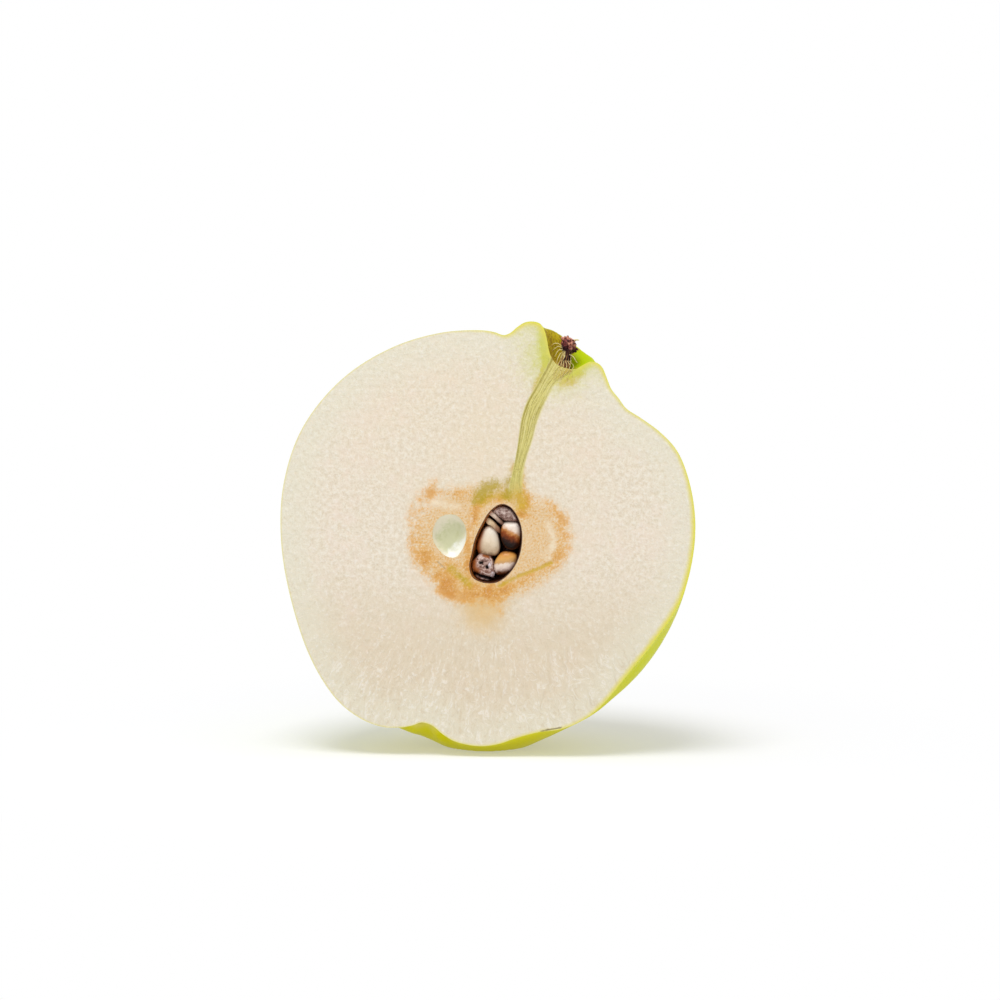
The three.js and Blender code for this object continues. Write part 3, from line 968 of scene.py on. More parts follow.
def face_relief(flat, edge, cavity, chamber):
    """The cut face with its grain, and the strand sunk a little below it."""
    points = flat_points(flat)
    rim = distance_to(flat, edge)[0]
    for loop in (cavity, chamber):
        rim = np.minimum(rim, distance_to(flat, loop)[0])
    reach = np.abs(strand_place(flat)[0])
    groove = GROOVE_DEPTH * ease(reach, 1.3, 0.8) + GROOVE_LIP * np.exp(-(((reach - 1.0) / 0.2) ** 2))
    rough = stain(flat, STAINS_AND_SHADE["rust"]) * bumps(points, STAIN_BUMPS)
    points[:, 1] = ease(rim, 0.0, EDGE_CALM) * (bumps(points, FLESH_BUMPS) + groove + rough)
    return points


def strand_place(flat):
    """Place across the strand, -1 to 1 from its left edge to its right one, and the run along it."""
    line = smooth_curve(STRAND, 6, closed=False)
    away, along = distance_to(flat, line[:, :2], closed=False)
    whole = np.clip(along.astype(int), 0, len(line) - 2)
    step = line[whole + 1] - line[whole]
    width = line[whole, 2] + step[:, 2] * (along - whole)
    offset = flat - line[whole, :2]
    side = np.sign(step[:, 0] * offset[:, 1] - step[:, 1] * offset[:, 0])
    return away / width * side, along


def stain(flat, strokes):
    """How strongly a set of strokes colours each point, 0 to 1."""
    bare = np.ones(len(flat))
    for path, width, strength in strokes:
        line = smooth_curve(path, 4, closed=False)
        away = distance_to(flat, line, closed=False)[0]
        bare *= 1.0 - strength * np.exp(-((away / width) ** 2))
    return 1.0 - bare


def skin_relief(towards, behind):
    """Faint dimples and, round the basin, pleats. None at the cut edge."""
    quiet = 1.0 - np.exp(-((behind / 3.0) ** 2))
    axis = direction(BASIN_AT, BASIN_BEHIND)
    off = angle_from(towards, axis)
    sideways = direction(BASIN_AT + 90, 0)
    round_basin = np.arctan2(towards[:, 1], towards @ sideways)
    pleats = PLEAT_HEIGHT * np.cos(PLEAT_COUNT * round_basin) * np.exp(-(((off - 7.0) / 4.0) ** 2))
    return quiet * (bumps(towards * GIRTH, PEEL_BUMPS) + pleats)


def bowl(rim, loop, depth, count, lump, lean):
    """Wall of a hollow sunk from the cut face, from its rim to its deepest point."""
    middle = flat_points(np.mean(loop, 0)[None])[0]
    spokes = loop - np.mean(loop, 0)
    upper_left = (spokes[:, 1] - spokes[:, 0]) / np.abs(spokes).max() / math.sqrt(2.0)
    points, faces, upper = [], [], rim
    for row in range(1, BOWL_ROWS):
        sunk = math.radians(90.0 * row / BOWL_ROWS)
        ring = flat_points(spokes * math.cos(sunk) ** 0.7) + middle
        ring[:, 1] = depth * math.sin(sunk) * (1.0 - lean * np.clip(upper_left, 0, 1) * math.cos(sunk))
        lumps = lump * math.sin(2 * sunk) * ripple(ring, LUMP_WIDTH)
        ring += lumps[:, None] * np.array([0.7, 1.0, 0.7])
        points.append(ring)
        lower = count + (row - 1) * len(loop) + np.arange(len(loop))
        faces += grid_faces(upper, lower)
        upper = lower
    points.append(middle[None] + [[0.0, depth, 0.0]])
    faces += cap_faces(upper, count + (BOWL_ROWS - 1) * len(loop))
    return np.vstack(points), faces


def fruit_fades(points, on_face, on_skin, edge, cavity, chamber):
    """Values at each point that the materials fade by."""
    on_the_face = face_fades(points[:on_face, [0, 2]], edge, cavity)
    fades = {}
    for name, values in on_the_face.items():
        fades[name] = np.zeros(len(points))
        fades[name][:on_face] = values
    rim, skin = slice(0, len(edge)), slice(on_face, on_face + on_skin)
    for part in (rim, skin):
        for name, values in skin_fades(points[part] - HEART).items():
            fades.setdefault(name, np.full(len(points), FAR))[part] = values
    return fades


def face_fades(flat, edge, cavity):
    """Distances and tints over the cut face, each from its own outline, spot or strokes."""
    x, z = flat.T
    to_edge = distance_to(flat, edge)[0]
    side, along = strand_place(flat)
    reach = np.abs(side)
    outer, inner = np.where(side < 0, 1.25, 1.45), np.where(side < 0, 0.75, 0.45)
    turn = np.degrees(np.arctan2(x - HEART[0], z - HEART[2]))
    right = bell(turn, RIM_RIGHT_AT, RIM_RIGHT_SPREAD)
    neck = bell(turn, RIM_NECK_AT, RIM_NECK_SPREAD)
    foot, pit = spot(flat, *PIT_FOOT, power=4), spot(flat, *PIT_SIDE, power=4)
    halo = np.hypot((x - HALO_MIDDLE[0]) / HALO_REACH[0], (z - HALO_MIDDLE[1]) / HALO_REACH[1])
    smear = np.exp(-((x - SMEAR_AT) / SMEAR_REACH) ** 2)
    return {
        "to_edge": to_edge,
        "to_cavity": distance_to(flat, cavity)[0],
        "rim_reach": (0.3 + 0.7 * right + 0.8 * neck) * (1.0 - 0.85 * foot) * (1.0 - 0.65 * pit),
        "neck_tint": spot(flat, *NECK_TINT) * (0.55 + 0.45 * ease(to_edge, 3.0, 0.3)),
        "strand": ease(reach, outer, inner),
        "strand_edge": np.exp(-(((reach - 0.86) / 0.10) ** 2)) * np.where(side < 0, 1.0, 0.35),
        "strand_side": side,
        "strand_run": along,
        "smear": smear * ease(z, 20.0, 30.0) * ease(z, 44.0, 36.0),
        "halo": ease(halo, 1.15, 0.75),
        **{name: stain(flat, strokes) for name, strokes in STAINS_AND_SHADE.items()},
    }


def skin_fades(spokes):
    """Angles from the neck and the basin, and the side of the neck, over the peel."""
    towards = spokes / np.linalg.norm(spokes, axis=1)[:, None]
    off, left = round_the_neck(towards)
    basin = angle_from(towards, direction(BASIN_AT, BASIN_BEHIND))
    return {"neck_off": off, "neck_left": left, "basin_off": basin}


# Seeds: name, node, depth of the middle, half thickness, outline in the face, and the colours
# from the upper end to the lower one, as a place from 0 to 1 and a screen colour. The ends are
# those of a line that slants to the right. Holes, gum and crumbs are paths with a half width.
# The dark lower ends of the whole, brown and tan seeds are painted shade beneath them, near
# black on the brown seed. The holes are painted near black as shade, and the whole seed's
# amber path is painted shade down its left side.
SEEDS = [
    {"name": "sliced_seed", "node": "seed_1", "middle": 1.55, "half": 1.5,
     "outline": [(1.3, 49.2), (2.0, 50.05), (3.0, 50.4), (4.3, 50.15), (5.4, 49.5), (6.2, 48.5),
                 (6.7, 47.4), (6.0, 47.15), (4.7, 47.3), (3.6, 47.35), (2.6, 48.2)],
     "stops": [(0.0, 206, 184, 174), (0.5, 170, 144, 134), (1.0, 128, 92, 80)],
     "gloss": 0.2, "worn": 0.7},
    {"name": "slim_seed_upper", "node": "seed_2", "middle": 1.8, "half": 1.4,
     "outline": [(0.3, 48.9), (0.8, 49.5), (1.5, 49.2), (2.5, 48.2), (3.5, 47.2), (3.9, 46.5),
                 (3.2, 46.4), (2.0, 47.4), (1.0, 48.2)],
     "stops": [(0.0, 236, 220, 202), (0.45, 214, 190, 170), (0.75, 140, 106, 88), (1.0, 84, 52, 40)],
     "slant": -45, "gloss": 0.4, "worn": 0.1},
    {"name": "slim_seed_lower", "node": "seed_3", "middle": 1.9, "half": 1.4,
     "outline": [(-0.2, 47.3), (0.2, 48.0), (1.0, 47.7), (2.2, 46.6), (3.0, 45.6), (3.0, 44.7),
                 (2.3, 44.9), (1.1, 46.1), (0.2, 46.6)],
     "stops": [(0.0, 240, 226, 188), (0.40, 214, 186, 148), (0.75, 150, 106, 78), (1.0, 90, 54, 38)],
     "slant": -45, "gloss": 0.4, "worn": 0.1},
    {"name": "whole_seed", "node": "seed_4", "middle": 2.2, "half": 1.95,
     "outline": [(-0.9, 45.2), (-0.1, 46.2), (0.9, 46.5), (1.9, 45.8), (2.5, 44.4), (2.8, 42.8),
                 (2.8, 41.2), (2.2, 40.2), (0.8, 39.9), (-1.2, 40.2), (-2.0, 41.4), (-1.9, 43.0),
                 (-1.4, 44.2)],
     # Painted shade at the top edge and at the dark lower end.
     "stops": [(0.0, 206, 186, 168), (0.16, 236, 226, 210), (0.5, 234, 216, 190),
               (0.8, 206, 180, 146), (1.0, 96, 56, 30)],
     # Painted shade: a brown band down the left side.
     "amber": [([(-1.5, 44.6), (-1.9, 42.8), (-2.0, 41.2), (-1.8, 39.8)], 1.15)],
     "slant": 12, "gloss": 0.45, "worn": 0.05},
    {"name": "brown_seed", "node": "seed_5", "middle": 2.0, "half": 1.9,
     "outline": [(3.1, 46.2), (3.6, 47.1), (5.0, 47.3), (6.5, 47.1), (7.1, 46.0), (7.2, 44.2),
                 (6.9, 42.4), (5.8, 41.4), (4.4, 41.5), (3.3, 42.8), (2.9, 44.6)],
     # Sliced white top, brown coat, then near-black painted shade at the lower end.
     "stops": [(0.0, 226, 206, 196), (0.12, 250, 240, 228), (0.30, 238, 218, 200),
               (0.42, 200, 138, 78), (0.56, 140, 66, 20), (0.72, 56, 22, 9), (0.84, 20, 8, 5),
               (1.0, 14, 6, 4)],
     "slant": 24, "gloss": 0.2, "worn": 0.05},
    {"name": "tan_seed", "node": "seed_6", "middle": 2.1, "half": 1.9,
     "outline": [(1.4, 37.9), (2.0, 39.6), (3.2, 40.9), (4.9, 41.1), (6.3, 40.4), (6.4, 38.9),
                 (5.5, 37.3), (3.9, 36.2), (2.0, 36.3)],
     # The dark lower end is painted shade beneath the seed.
     "stops": [(0.0, 132, 84, 48), (0.14, 206, 138, 58), (0.34, 222, 168, 92), (0.48, 204, 158, 104),
               (0.58, 240, 222, 206), (0.74, 228, 204, 190), (0.88, 112, 64, 36), (1.0, 60, 28, 14)],
     "slant": -8, "gloss": 0.45, "worn": 0.05},
    {"name": "gnawed_seed", "node": "seed_7", "middle": 1.9, "half": 1.9,
     "outline": [(-2.3, 39.6), (-1.3, 40.6), (0.2, 40.4), (1.3, 39.6), (1.7, 38.0), (1.8, 36.3),
                 (1.0, 35.2), (-1.0, 34.95), (-2.4, 36.0), (-3.0, 37.6), (-2.9, 38.9)],
     "stops": [(0.0, 196, 168, 156), (0.45, 182, 150, 138), (0.70, 150, 108, 92), (1.0, 170, 136, 128)],
     "holes": [([(-1.1, 38.6), (-0.8, 38.7)], 0.36), ([(0.2, 37.8), (0.3, 37.7)], 0.40),
               ([(-2.4, 36.5), (-1.0, 36.0), (0.3, 35.6), (1.0, 35.4)], 0.42)],
     "amber": [([(-2.6, 39.2), (-2.4, 37.6), (-1.8, 36.9)], 0.8), ([(-0.4, 40.1), (0.4, 39.9)], 0.4)],
     "crumbs": [([(1.3, 35.7), (1.5, 36.4)], 0.5), ([(0.7, 37.9), (1.0, 38.6)], 0.35)],
     "gloss": 0.3, "worn": 0.8},
    {"name": "deep_seed", "node": "seed_8", "middle": 5.2, "half": 1.3,
     "outline": [(3.6, 44.0), (4.6, 44.4), (5.5, 43.6), (5.7, 42.0), (5.4, 40.0), (4.6, 38.9),
                 (3.5, 39.4), (3.0, 41.0), (3.1, 42.8)],
     "stops": [(0.0, 70, 30, 14), (1.0, 40, 16, 8)],
     "gloss": 0.5, "worn": 0.1},
]
SLICED = 0.25  # the knife's cut through the seeds lies this far behind the cut face
MARK_EDGES = {"holes": (0.3, 0.7), "amber": (0.05, 1.0), "crumbs": (0.3, 0.7)}
HOLE_DEPTH, CRUMB_HEIGHT = 0.9, 0.2
SMOOTH_BUMPS, WORN_BUMPS = 0.05, 0.16


def seed_mesh(seed):
    """A pebble with the given outline, rounded in front and behind, and cut flat by the knife."""
    loop = smooth_curve(seed["outline"], SEED_STEPS)
    middle = loop.mean(0)
    points = []
    for turn in np.linspace(0.0, math.pi, SEED_ROWS)[1:-1]:
        ring = flat_points((loop - middle) * math.sin(turn) ** 0.75 + middle)
        ring[:, 1] = seed["middle"] - seed["half"] * math.cos(turn)
        points.append(ring)
    poles = flat_points(middle[None])[[0, 0]]
    poles[:, 1] = seed["middle"] + np.array([-1.0, 1.0]) * seed["half"]
    points = np.vstack([*points, poles])
    rough = (SMOOTH_BUMPS + WORN_BUMPS * seed["worn"]) * ripple(points, 0.9 + 0.5 * (1 - seed["worn"]))
    points += rough[:, None] * np.array([0.4, 1.0, 0.4])
    marks = seed_marks(seed, points)
    along = seed_run(seed, points[:, [0, 2]], loop)
    points[:, 1] += HOLE_DEPTH * marks["holes"] - CRUMB_HEIGHT * marks["crumbs"]
    points[:, 1] = np.maximum(points[:, 1], SLICED + bumps(points, SLICE_BUMPS))

    rows = [i * len(loop) + np.arange(len(loop)) for i in range(SEED_ROWS - 2)]
    faces = cap_faces(rows[0][::-1], len(points) - 2) + cap_faces(rows[-1], len(points) - 1)
    for upper, lower in zip(rows, rows[1:]):
        faces += grid_faces(lower, upper)
    fades = {
        "along": along,
        # Share of painted shade: the flanks, away from the front.
        "side": ease(points[:, 1] - seed["middle"], -0.9 * seed["half"], -0.1 * seed["half"]),
        **{mark: ease(near, *MARK_EDGES[mark]) for mark, near in marks.items()},
    }
    return points, faces, fades


def seed_marks(seed, points):
    """How near each point of a seed's front is to its holes, gum and crumbs, up to 1."""
    flat, in_front = points[:, [0, 2]], points[:, 1] < seed["middle"]
    marks = {}
    for mark in MARK_EDGES:
        marks[mark] = np.zeros(len(points))
        for path, width in seed.get(mark, []):
            away = distance_to(flat, np.array(path), closed=False)[0]
            marks[mark] = np.maximum(marks[mark], np.exp(-((away / width) ** 2)) * in_front)
    return marks


def seed_run(seed, flat, loop):
    """Places along the seed's slanting line, 0 at its upper end and 1 at its lower one."""
    slant = math.radians(seed.get("slant", 0))
    upwards = np.array([math.sin(slant), math.cos(slant)])
    ends = loop @ upwards
    return (ends.max() - flat @ upwards) / (ends.max() - ends.min())


# Stem stub: a ragged knob on a fibrous column. The profile is radius and height above the foot.
STUB_FOOT = np.array([15.9, 1.9, 78.9])
STUB_TILT = 11
STUB_PROFILE = [
    (0.05, 0.0), (1.15, 0.15), (1.05, 0.9), (0.85, 1.8), (0.75, 2.6), (0.80, 3.1), (1.10, 3.6),
    (1.30, 4.4), (1.30, 5.2), (1.00, 5.9), (0.45, 6.3), (0.05, 6.4),
]
KNOB_HEIGHT = 4.8
KNOB_RISE, KNOB_TINT = (2.9, 3.7), (2.6, 3.6)  # where the column gives way to the knob
KNOB_MIDDLE = (17.0, 84.0)  # x and z in the face
KNOB_FOLDS = [(1.5, 1.1, 2.0), (0.6, 0.45, 7.0)]
KNOB_SHRINK = 0.45
COLUMN_STRINGS = [(0.20, 0.3, 4.0)]
COLUMN_RIDGES, RIDGE_HEIGHT = 11, 0.08
FLAKES, STRINGS, HANGING = 14, 18, 6
SPIRAL = 2.4  # turn from one flake or string to the next, in radians
WISPS = [
    ([(15.6, 0.9, 83.2), (14.7, 0.7, 83.9), (13.8, 0.8, 83.9), (13.2, 1.1, 83.4)], 0.08),
    ([(15.6, 0.8, 82.9), (14.8, 0.5, 83.3), (14.0, 0.6, 82.9), (13.4, 1.0, 82.3)], 0.07),
    ([(15.7, 0.8, 82.6), (15.0, 0.5, 82.6), (14.4, 0.5, 82.0), (14.0, 0.6, 81.2)], 0.08),
    ([(15.8, 0.6, 82.3), (15.2, 0.3, 81.8), (14.7, 0.2, 80.9), (14.4, 0.2, 79.8)], 0.08),
    ([(17.0, 0.5, 81.6), (17.8, 0.4, 81.2), (18.3, 0.3, 80.4), (18.7, 0.3, 79.9)], 0.08),
    ([(17.6, 1.3, 84.5), (18.3, 1.2, 84.7), (19.0, 1.2, 84.6)], 0.16),
]


def stub_mesh():
    """Points, faces, kinds of face and fades of the stub with its threads."""
    points, faces = stub_core()
    kinds = [0] * len(faces)
    knobs = [ease(points[:, 2] - STUB_FOOT[2], *KNOB_TINT)]
    all_points, count = [points], len(points)
    for path, radius, kind in stub_threads():
        strand, added = fibre(path, radius, count)
        all_points.append(strand)
        knobs.append(np.full(len(strand), 1.0 - kind))
        faces += added
        kinds += [kind] * len(added)
        count += len(strand)
    return np.vstack(all_points), faces, kinds, {"knob": np.concatenate(knobs)}


def stub_core():
    """The column and the knob, with strings down the one and folds round the other."""
    turns = np.arange(STUB_SIDES) / STUB_SIDES * 2 * math.pi
    outwards = np.stack([np.cos(turns), np.sin(turns)], 1)
    points, rows = [], []
    for i, (radius, height) in enumerate(smooth_curve(STUB_PROFILE, STUB_STEPS, closed=False)):
        ring = np.column_stack([radius * outwards, np.full(STUB_SIDES, height)])
        knob = ease(height, *KNOB_RISE)
        folds = sum(high * np.abs(ripple(ring, across, shift)) for high, across, shift in KNOB_FOLDS)
        strings = bumps(ring * [1.0, 1.0, 0.25], COLUMN_STRINGS)
        strings += RIDGE_HEIGHT * np.cos(COLUMN_RIDGES * turns + 1.3 * height)
        swell = (knob * (folds - KNOB_SHRINK) + (1 - knob) * strings) * min(1.0, radius)
        ring[:, :2] += swell[:, None] * outwards
        ring[:, 2] += 0.3 * knob * ripple(ring, 0.6, 3.0)
        points.append(ring)
        rows.append(i * STUB_SIDES + np.arange(STUB_SIDES))
    return upright_to_stub(np.vstack(points)), tube_faces(rows)


def tube_faces(rows):
    """Faces of a tube through closed rows of point numbers, with both its ends shut."""
    faces = [rows[0][::-1].tolist(), rows[-1].tolist()]
    for lower, upper in zip(rows, rows[1:]):
        faces += grid_faces(lower, upper)
    return faces


def upright_to_stub(points):
    """Leans points of an upright stub to the right and puts them in the pit."""
    tilt = math.radians(STUB_TILT)
    x, y, z = points.T
    leaning = [x * math.cos(tilt) + z * math.sin(tilt), y, z * math.cos(tilt) - x * math.sin(tilt)]
    return np.stack(leaning, 1) + STUB_FOOT


def stub_threads():
    """Flakes round the knob (kind 0), and strings, hanging fibres and wisps (mostly kind 1)."""
    rng = np.random.default_rng(11)
    threads = []
    for turn in np.arange(FLAKES) * SPIRAL:
        rise = rng.uniform(-0.5, 1.1)
        flat = math.cos(rise)
        out = np.array([math.cos(turn) * flat, math.sin(turn) * flat, math.sin(rise)])
        bow = rng.normal(0, 0.25, 3) + [0, 0, 0.15]
        path = np.outer([0.8, 1.5, 1.95], out) + np.outer([0, 0.5, 1.0], bow) + [0, 0, KNOB_HEIGHT]
        threads.append((upright_to_stub(path), rng.uniform(0.20, 0.45), 0))
    for turn in np.arange(STRINGS) * SPIRAL:
        heights = np.array([3.5, 2.4, 1.2, 0.1])
        reach = np.array([0.85, 0.80, 1.0, 1.25]) + rng.normal(0, 0.14, 4)
        turns = turn + rng.normal(0, 0.12, 4)
        path = np.stack([reach * np.cos(turns), reach * np.sin(turns), heights], 1)
        threads.append((upright_to_stub(path), rng.uniform(0.10, 0.24), int(rng.uniform() < 0.3)))
    for start in np.linspace(-1.6, 2.2, HANGING):
        end = np.array([start * 0.7 - 1.6, 0.0, -2.2 - abs(start) * 0.3]) + rng.normal(0, 0.4, 3)
        upper = [[start * 0.4, -1.1, 1.5], [start * 0.9, -1.7, 0.4], [start * 0.9 - 0.5, -1.9, -0.8]]
        path = np.vstack([upper, end]) + STUB_FOOT
        path[3, 1] = -0.02  # the end lies just in front of the cut face
        threads.append((path, rng.uniform(0.05, 0.08), 1))
    return threads + [(path, radius, 1) for path, radius in WISPS]


def fibre(path, radius, count):
    """A thin strand along a path that tapers to both ends."""
    line = smooth_curve(path, FIBRE_STEPS, closed=False)
    bends = [ripple(line, FIBRE_BEND_WIDTH, axis * 4.0) for axis in range(3)]
    line = line + FIBRE_BEND * np.stack(bends, 1)
    turns = np.arange(FIBRE_SIDES) / FIBRE_SIDES * 2 * math.pi
    runs = np.gradient(line, axis=0)
    runs /= np.linalg.norm(runs, axis=1)[:, None]
    sides = np.cross(runs, [0.3, 1.0, 0.1])
    sides /= np.linalg.norm(sides, axis=1)[:, None]
    fronts = np.cross(runs, sides)
    taper = 0.25 + 0.75 * np.sin(np.linspace(0.25, math.pi - 0.15, len(line))) ** 0.7
    rings = [p + radius * t * (np.cos(turns)[:, None] * s + np.sin(turns)[:, None] * f)
             for p, t, s, f in zip(line, taper, sides, fronts)]
    rows = [count + i * FIBRE_SIDES + np.arange(FIBRE_SIDES) for i in range(len(rings))]
    return np.vstack(rings), tube_faces(rows)


# Settings

class QuinceFruitLook(bpy.types.PropertyGroup):
    cavity_depth: size("Cavity depth", "Depth of the open seed cavity", CAVITY_DEPTH)
    chamber_depth: size("Chamber depth", "Depth of the empty seed chamber", CHAMBER_DEPTH)
    flesh_grain: size("Flesh grain", "Depth of the flesh's finest grain", 0.17)
    peel_grain: size("Peel grain", "Depth of the peel's finest grain", 0.08)
    wall_grain: size("Wall grain", "Depth of the wrinkles in the cavity and the chamber", 0.25)
    flesh: colour("Flesh", "Cream of the cut flesh", 237, 227, 209)
    flesh_low: colour("Flesh, darker grain", "Darker grain between the fibres", 227, 214, 192)
    flesh_shade: colour("Flesh, shade", "Darkest hollows of the grain", 214, 197, 168)
    flesh_pink: colour("Flesh, pink", "Pinkish clouds in the flesh", 238, 222, 206)
    flesh_warm: colour("Flesh, warm", "Warmer flesh round and below the core", 233, 217, 188)
    flesh_foot: colour("Flesh, foot", "Darker cream flesh in the lower half", 220, 204, 176)
    flesh_cool: colour("Flesh, cool", "Greener flesh near the peel", 230, 226, 205)
    fibre: colour("Specks", "Pale specks in the flesh", 246, 241, 232)
    smear: colour("Smear", "Tan flesh below the core", 224, 192, 138)
    halo: colour("Halo", "Tan flesh round the core", 232, 200, 152)
    rust: colour("Rust", "Rusty stain round the core", 212, 146, 62)
    fleck: colour("Flecks", "Small brown flecks by the core", 186, 126, 52)
    amber: colour("Amber", "Orange speckles by the core", 228, 172, 84)
    gold: colour("Gold", "Golden lines by the core", 206, 168, 46)
    olive: colour("Olive", "Olive patches at the foot of the strand", 182, 158, 36)
    milk: colour("Milk", "Whitish patches by the core", 246, 232, 206)
    # Also paints the brown stain lines and the painted shade along the lower cut edge.
    brown: colour("Brown", "Lip of the cavity", 70, 34, 16)
    strand: colour("Strand", "Strand from the stem to the core", 216, 206, 112)
    strand_pale: colour("Strand, pale", "Pale lines and sides of the strand", 230, 220, 156)
    strand_dark: colour("Strand, dark", "Dark lines along the strand", 152, 136, 28)
    strand_tan: colour("Strand, tan", "Tan fibres at the top of the strand", 204, 176, 62)
    rim: colour("Rim", "Edge of the peel in the cut", 222, 222, 72)
    rim_pale: colour("Rim, pale", "Flesh just inside the peel", 228, 216, 92)
    neck_flesh: colour("Neck flesh", "Greenish flesh in the neck", 206, 206, 84)
    chamber: colour("Chamber", "Bottom of the empty seed chamber", 212, 212, 172)
    chamber_rim: colour("Chamber rim", "Walls of the empty seed chamber", 234, 226, 200)
    chamber_shade: colour("Chamber shade", "Darker patches in the chamber", 202, 202, 152)
    # Painted highlight on the chamber's lower right wall.
    chamber_painted_highlight: colour("Chamber, bright", "Bright lower right edge of the chamber", 246, 246, 238)
    cavity: colour("Cavity", "Walls of the seed cavity", 104, 58, 34)
    # Painted light on the upper left wall.
    cavity_warm_painted_light: colour("Cavity, warm", "Lit wall of the seed cavity", 196, 120, 50)
    # Painted shade deep in the cavity.
    cavity_deep_painted_shade: colour("Cavity, deep", "Bottom of the seed cavity", 40, 18, 10)
    peel: colour("Peel", "Yellow-green peel", 206, 212, 4)
    peel_ripe: colour("Peel, ripe", "Yellow peel", 220, 208, 24)
    peel_green: colour("Peel, green", "Green peel", 186, 206, 2)
    peel_pale: colour("Peel, pale", "Pale mottling of the peel", 218, 220, 70)
    # Mottling, and also painted light on the low peel, brighter than the plain peel.
    peel_mottle_and_painted_light: colour("Peel, olive", "Darker peel low down", 234, 220, 0)
    peel_tan: colour("Peel, tan", "Tan peel round the neck and the basin", 222, 208, 128)
    pore: colour("Pores", "Fine dots in the peel", 140, 144, 20)
    pit_green: colour("Pit, green", "Green wall of the stem pit", 176, 196, 0)
    pit_olive: colour("Pit, olive", "Olive wall of the stem pit", 196, 174, 28)
    pit_floor: colour("Pit floor", "Tan foot of the stem pit", 202, 172, 74)
    pit_brown: colour("Pit, brown", "Brown of the stem pit and the basin", 140, 104, 24)


class QuinceSeedsLook(bpy.types.PropertyGroup):
    grain: size("Grain", "Depth of the grain on a sound seed", 0.05)
    wear: size("Wear", "Depth that full wear adds to the grain", 0.35)
    side: colour("Sides", "Brown of the seeds' shaded sides", 92, 46, 18)
    grit_dark: colour("Grit, dark", "Dark grit on worn seeds", 92, 52, 40)
    grit_pale: colour("Grit, pale", "Pale grit on worn seeds", 226, 206, 196)
    # Also painted shade down the whole seed's left side.
    amber: colour("Amber", "Dried gum and amber sides", 150, 84, 36)
    crumbs: colour("Crumbs", "Whitish crumbs", 240, 230, 236)
    # Painted shade in the holes and slots.
    holes: colour("Holes", "Holes and slots in the gnawed seed", 14, 5, 4)


class QuinceStubLook(bpy.types.PropertyGroup):
    grain: size("Grain", "Depth of the bark's crumple", 0.2)
    stub: colour("Bark", "Maroon of the dried stub", 140, 66, 62)
    # Painted shade in the folds and under the knob.
    stub_dark_and_painted_shade: colour("Bark, dark", "Folds of the dried stub", 40, 12, 16)
    # Pinkish ridges, and also a painted highlight on them.
    stub_pink_and_painted_highlight: colour("Bark, light", "Pinkish ridges of the dried stub", 222, 158, 132)
    fibre_tan: colour("Fibre", "Tan fibres below the knob", 172, 128, 74)
    # The fibres' own dark brown, and painted shade in the gaps between them.
    fibre_dark_and_gap_shade: colour("Fibre, dark", "Dark gaps between the fibres", 96, 46, 32)
    fibre_pale: colour("Fibre, pale", "Loose pale fibres", 220, 206, 140)


class QuinceStageLook(bpy.types.PropertyGroup):
    sky: share("Sky", "Brightness of the white room", 0.60)
    key: bpy.props.FloatProperty(
        name="Key light", description="Power of the soft light above the left front", unit="POWER",
        min=0, default=5.6)
    glow: share("Floor glow", "How much of the floor is lit evenly", 0.3)
    floor: colour("Floor", "Matt floor near the fruit", 242, 242, 246)
    distance: size("Camera distance", "From the cut face to the camera", 450, 100)
    view_width: size("View width", "Width of the picture at the cut face", 206, 50)


# Operators

class QUINCE_OT_fruit(bpy.types.Operator):
    """Build the fruit half: flesh, peel, seed cavity, chamber, neck and basin"""
    bl_idname = "quince.fruit"
    bl_label = "Fruit half"

    def execute(self, context):
        look = context.scene.quince_fruit
        points, faces, kinds, fades = fruit_mesh(look.cavity_depth / MM, look.chamber_depth / MM)
        finishes = (flesh_material, peel_material, cavity_material, chamber_material)
        materials = [finish(look) for finish in finishes]
        piece = make_piece("fruit_half", points, faces, materials, kinds, fades)
        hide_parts("half_fruit")
        return {"FINISHED"}


class QUINCE_OT_seeds(bpy.types.Operator):
    """Build the eight seeds in the cavity"""
    bl_idname = "quince.seeds"
    bl_label = "Seeds"

    def execute(self, context):
        look = context.scene.quince_seeds
        for seed in SEEDS:
            points, faces, fades = seed_mesh(seed)
            piece = make_piece(seed["name"], points, faces, [seed_material(look, seed)], fades=fades)
            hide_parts(seed["node"])
        return {"FINISHED"}


class QUINCE_OT_stub(bpy.types.Operator):
    """Build the dried stem stub with its loose fibres"""
    bl_idname = "quince.stub"
    bl_label = "Stem stub"

    def execute(self, context):
        look = context.scene.quince_stub
        points, faces, kinds, fades = stub_mesh()
        materials = [stub_material(look), fibre_material(look)]
        piece = make_piece("dried_stub", points, faces, materials, kinds, fades)
        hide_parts("stem_stub")
        return {"FINISHED"}


# Stage: the camera's turn to the right of square on and its rise, and where it aims in the
# face. The sensor is in millimetres, and the floor, the light and its place are in metres.
CAMERA_TURN, CAMERA_RISE = 4.5, 3.5
AIM = np.array([2.9, 0.0, 51.6])
SENSOR = 36.0
KEY_PLACE, KEY_SIZE = (-0.10, -0.30, 0.92), 0.42
FLOOR_REACH, FLOOR_CORNERS = 8.0, 128
FLOOR_NEAR, FLOOR_FAR = 0.045, 0.12  # the matt middle of the floor fades out between these


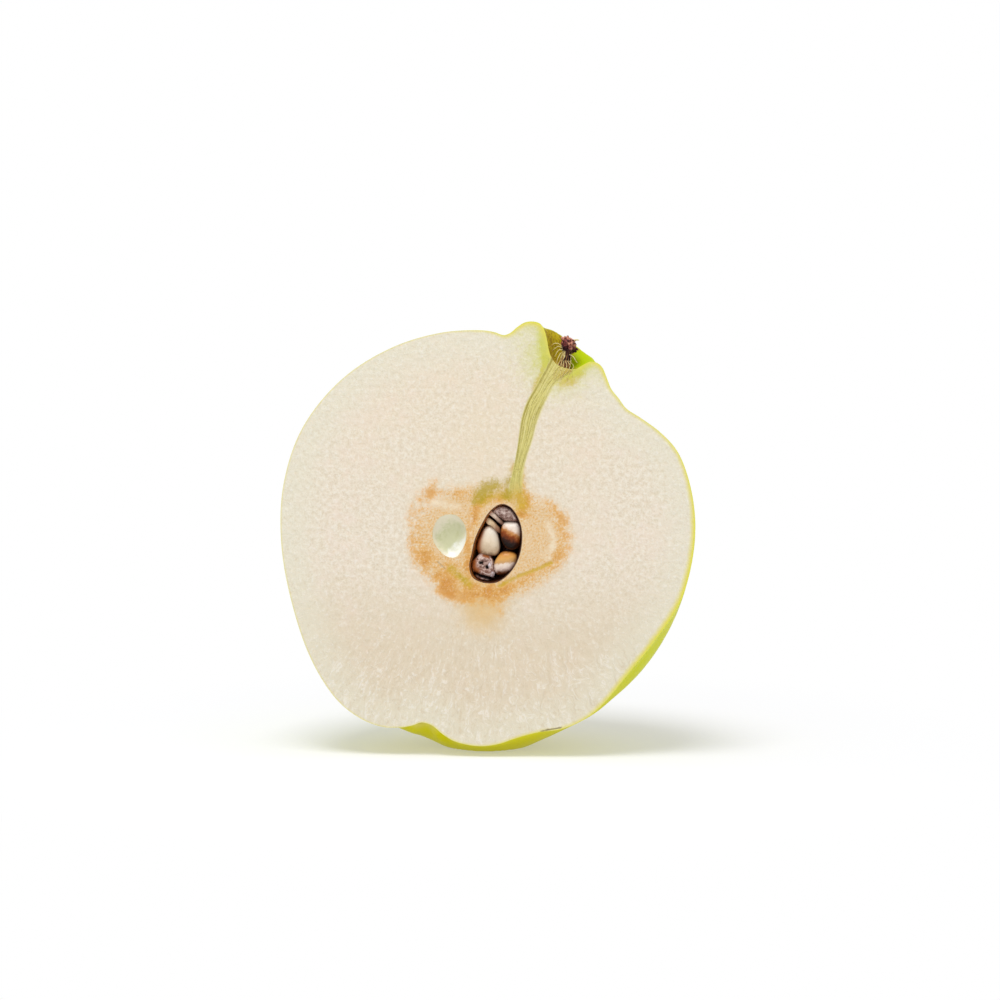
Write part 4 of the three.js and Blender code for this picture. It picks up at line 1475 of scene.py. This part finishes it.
class QUINCE_OT_stage(bpy.types.Operator):
    """Set up the pale floor, the white room, the soft light and the camera"""
    bl_idname = "quince.stage"
    bl_label = "Stage"

    def execute(self, context):
        look = context.scene.quince_stage
        scene = context.scene
        scene.view_settings.view_transform = "Standard"
        target = to_part(AIM)

        lens = bpy.data.cameras.new("camera")
        lens.sensor_width = SENSOR
        lens.lens = SENSOR * look.distance / look.view_width
        camera = bpy.data.objects.new("camera", lens)
        aim(camera, target + towards_camera() * look.distance, target)
        scene.camera = camera

        key = bpy.data.lights.new("key", "AREA")
        key.energy = look.key
        key.size = KEY_SIZE
        aim(bpy.data.objects.new("key", key), KEY_PLACE, target)

        scene.world = white_room(look)
        floor = floor_disc(look)
        scene.collection.objects.link(floor)
        return {"FINISHED"}


def towards_camera():
    turn, rise = math.radians(CAMERA_TURN), math.radians(CAMERA_RISE)
    flat = math.cos(rise)
    return np.array([math.sin(turn) * flat, -math.cos(turn) * flat, math.sin(rise)])


def aim(thing, place, target):
    """Puts a light or camera somewhere and turns it to its target."""
    thing.location = place
    thing.rotation_euler = (Vector(target) - Vector(place)).to_track_quat("-Z", "Y").to_euler()
    bpy.context.scene.collection.objects.link(thing)


def floor_disc(look):
    mesh = bpy.data.meshes.new("floor")
    turns = np.arange(FLOOR_CORNERS) / FLOOR_CORNERS * 2 * math.pi
    ring = np.stack([np.cos(turns), np.sin(turns), 0 * turns], 1) * FLOOR_REACH
    mesh.from_pydata(ring.tolist(), [], [list(range(FLOOR_CORNERS))])
    mesh.materials.append(floor_material(look))
    return bpy.data.objects.new("floor", mesh)


class QUINCE_PT_panel(bpy.types.Panel):
    bl_label = "Quince half"
    bl_idname = "QUINCE_PT_panel"
    bl_space_type = "VIEW_3D"
    bl_region_type = "UI"
    bl_category = "Quince"

    def draw(self, context):
        for operator in STEPS:
            self.layout.operator(operator.bl_idname)


STEPS = [QUINCE_OT_stage, QUINCE_OT_fruit, QUINCE_OT_seeds, QUINCE_OT_stub]
LOOKS = {
    "quince_fruit": QuinceFruitLook, "quince_seeds": QuinceSeedsLook, "quince_stub": QuinceStubLook,
    "quince_stage": QuinceStageLook,
}


def register():
    for kind in [*LOOKS.values(), *STEPS, QUINCE_PT_panel]:
        bpy.utils.register_class(kind)
    for name, kind in LOOKS.items():
        setattr(bpy.types.Scene, name, bpy.props.PointerProperty(type=kind))


def unregister():
    for name in LOOKS:
        delattr(bpy.types.Scene, name)
    for kind in reversed([*LOOKS.values(), *STEPS, QUINCE_PT_panel]):
        bpy.utils.unregister_class(kind)


def main():
    register()
    bpy.ops.quince.stage()
    bpy.ops.quince.fruit()
    bpy.ops.quince.seeds()
    bpy.ops.quince.stub()


if __name__ == "__main__":
    main()
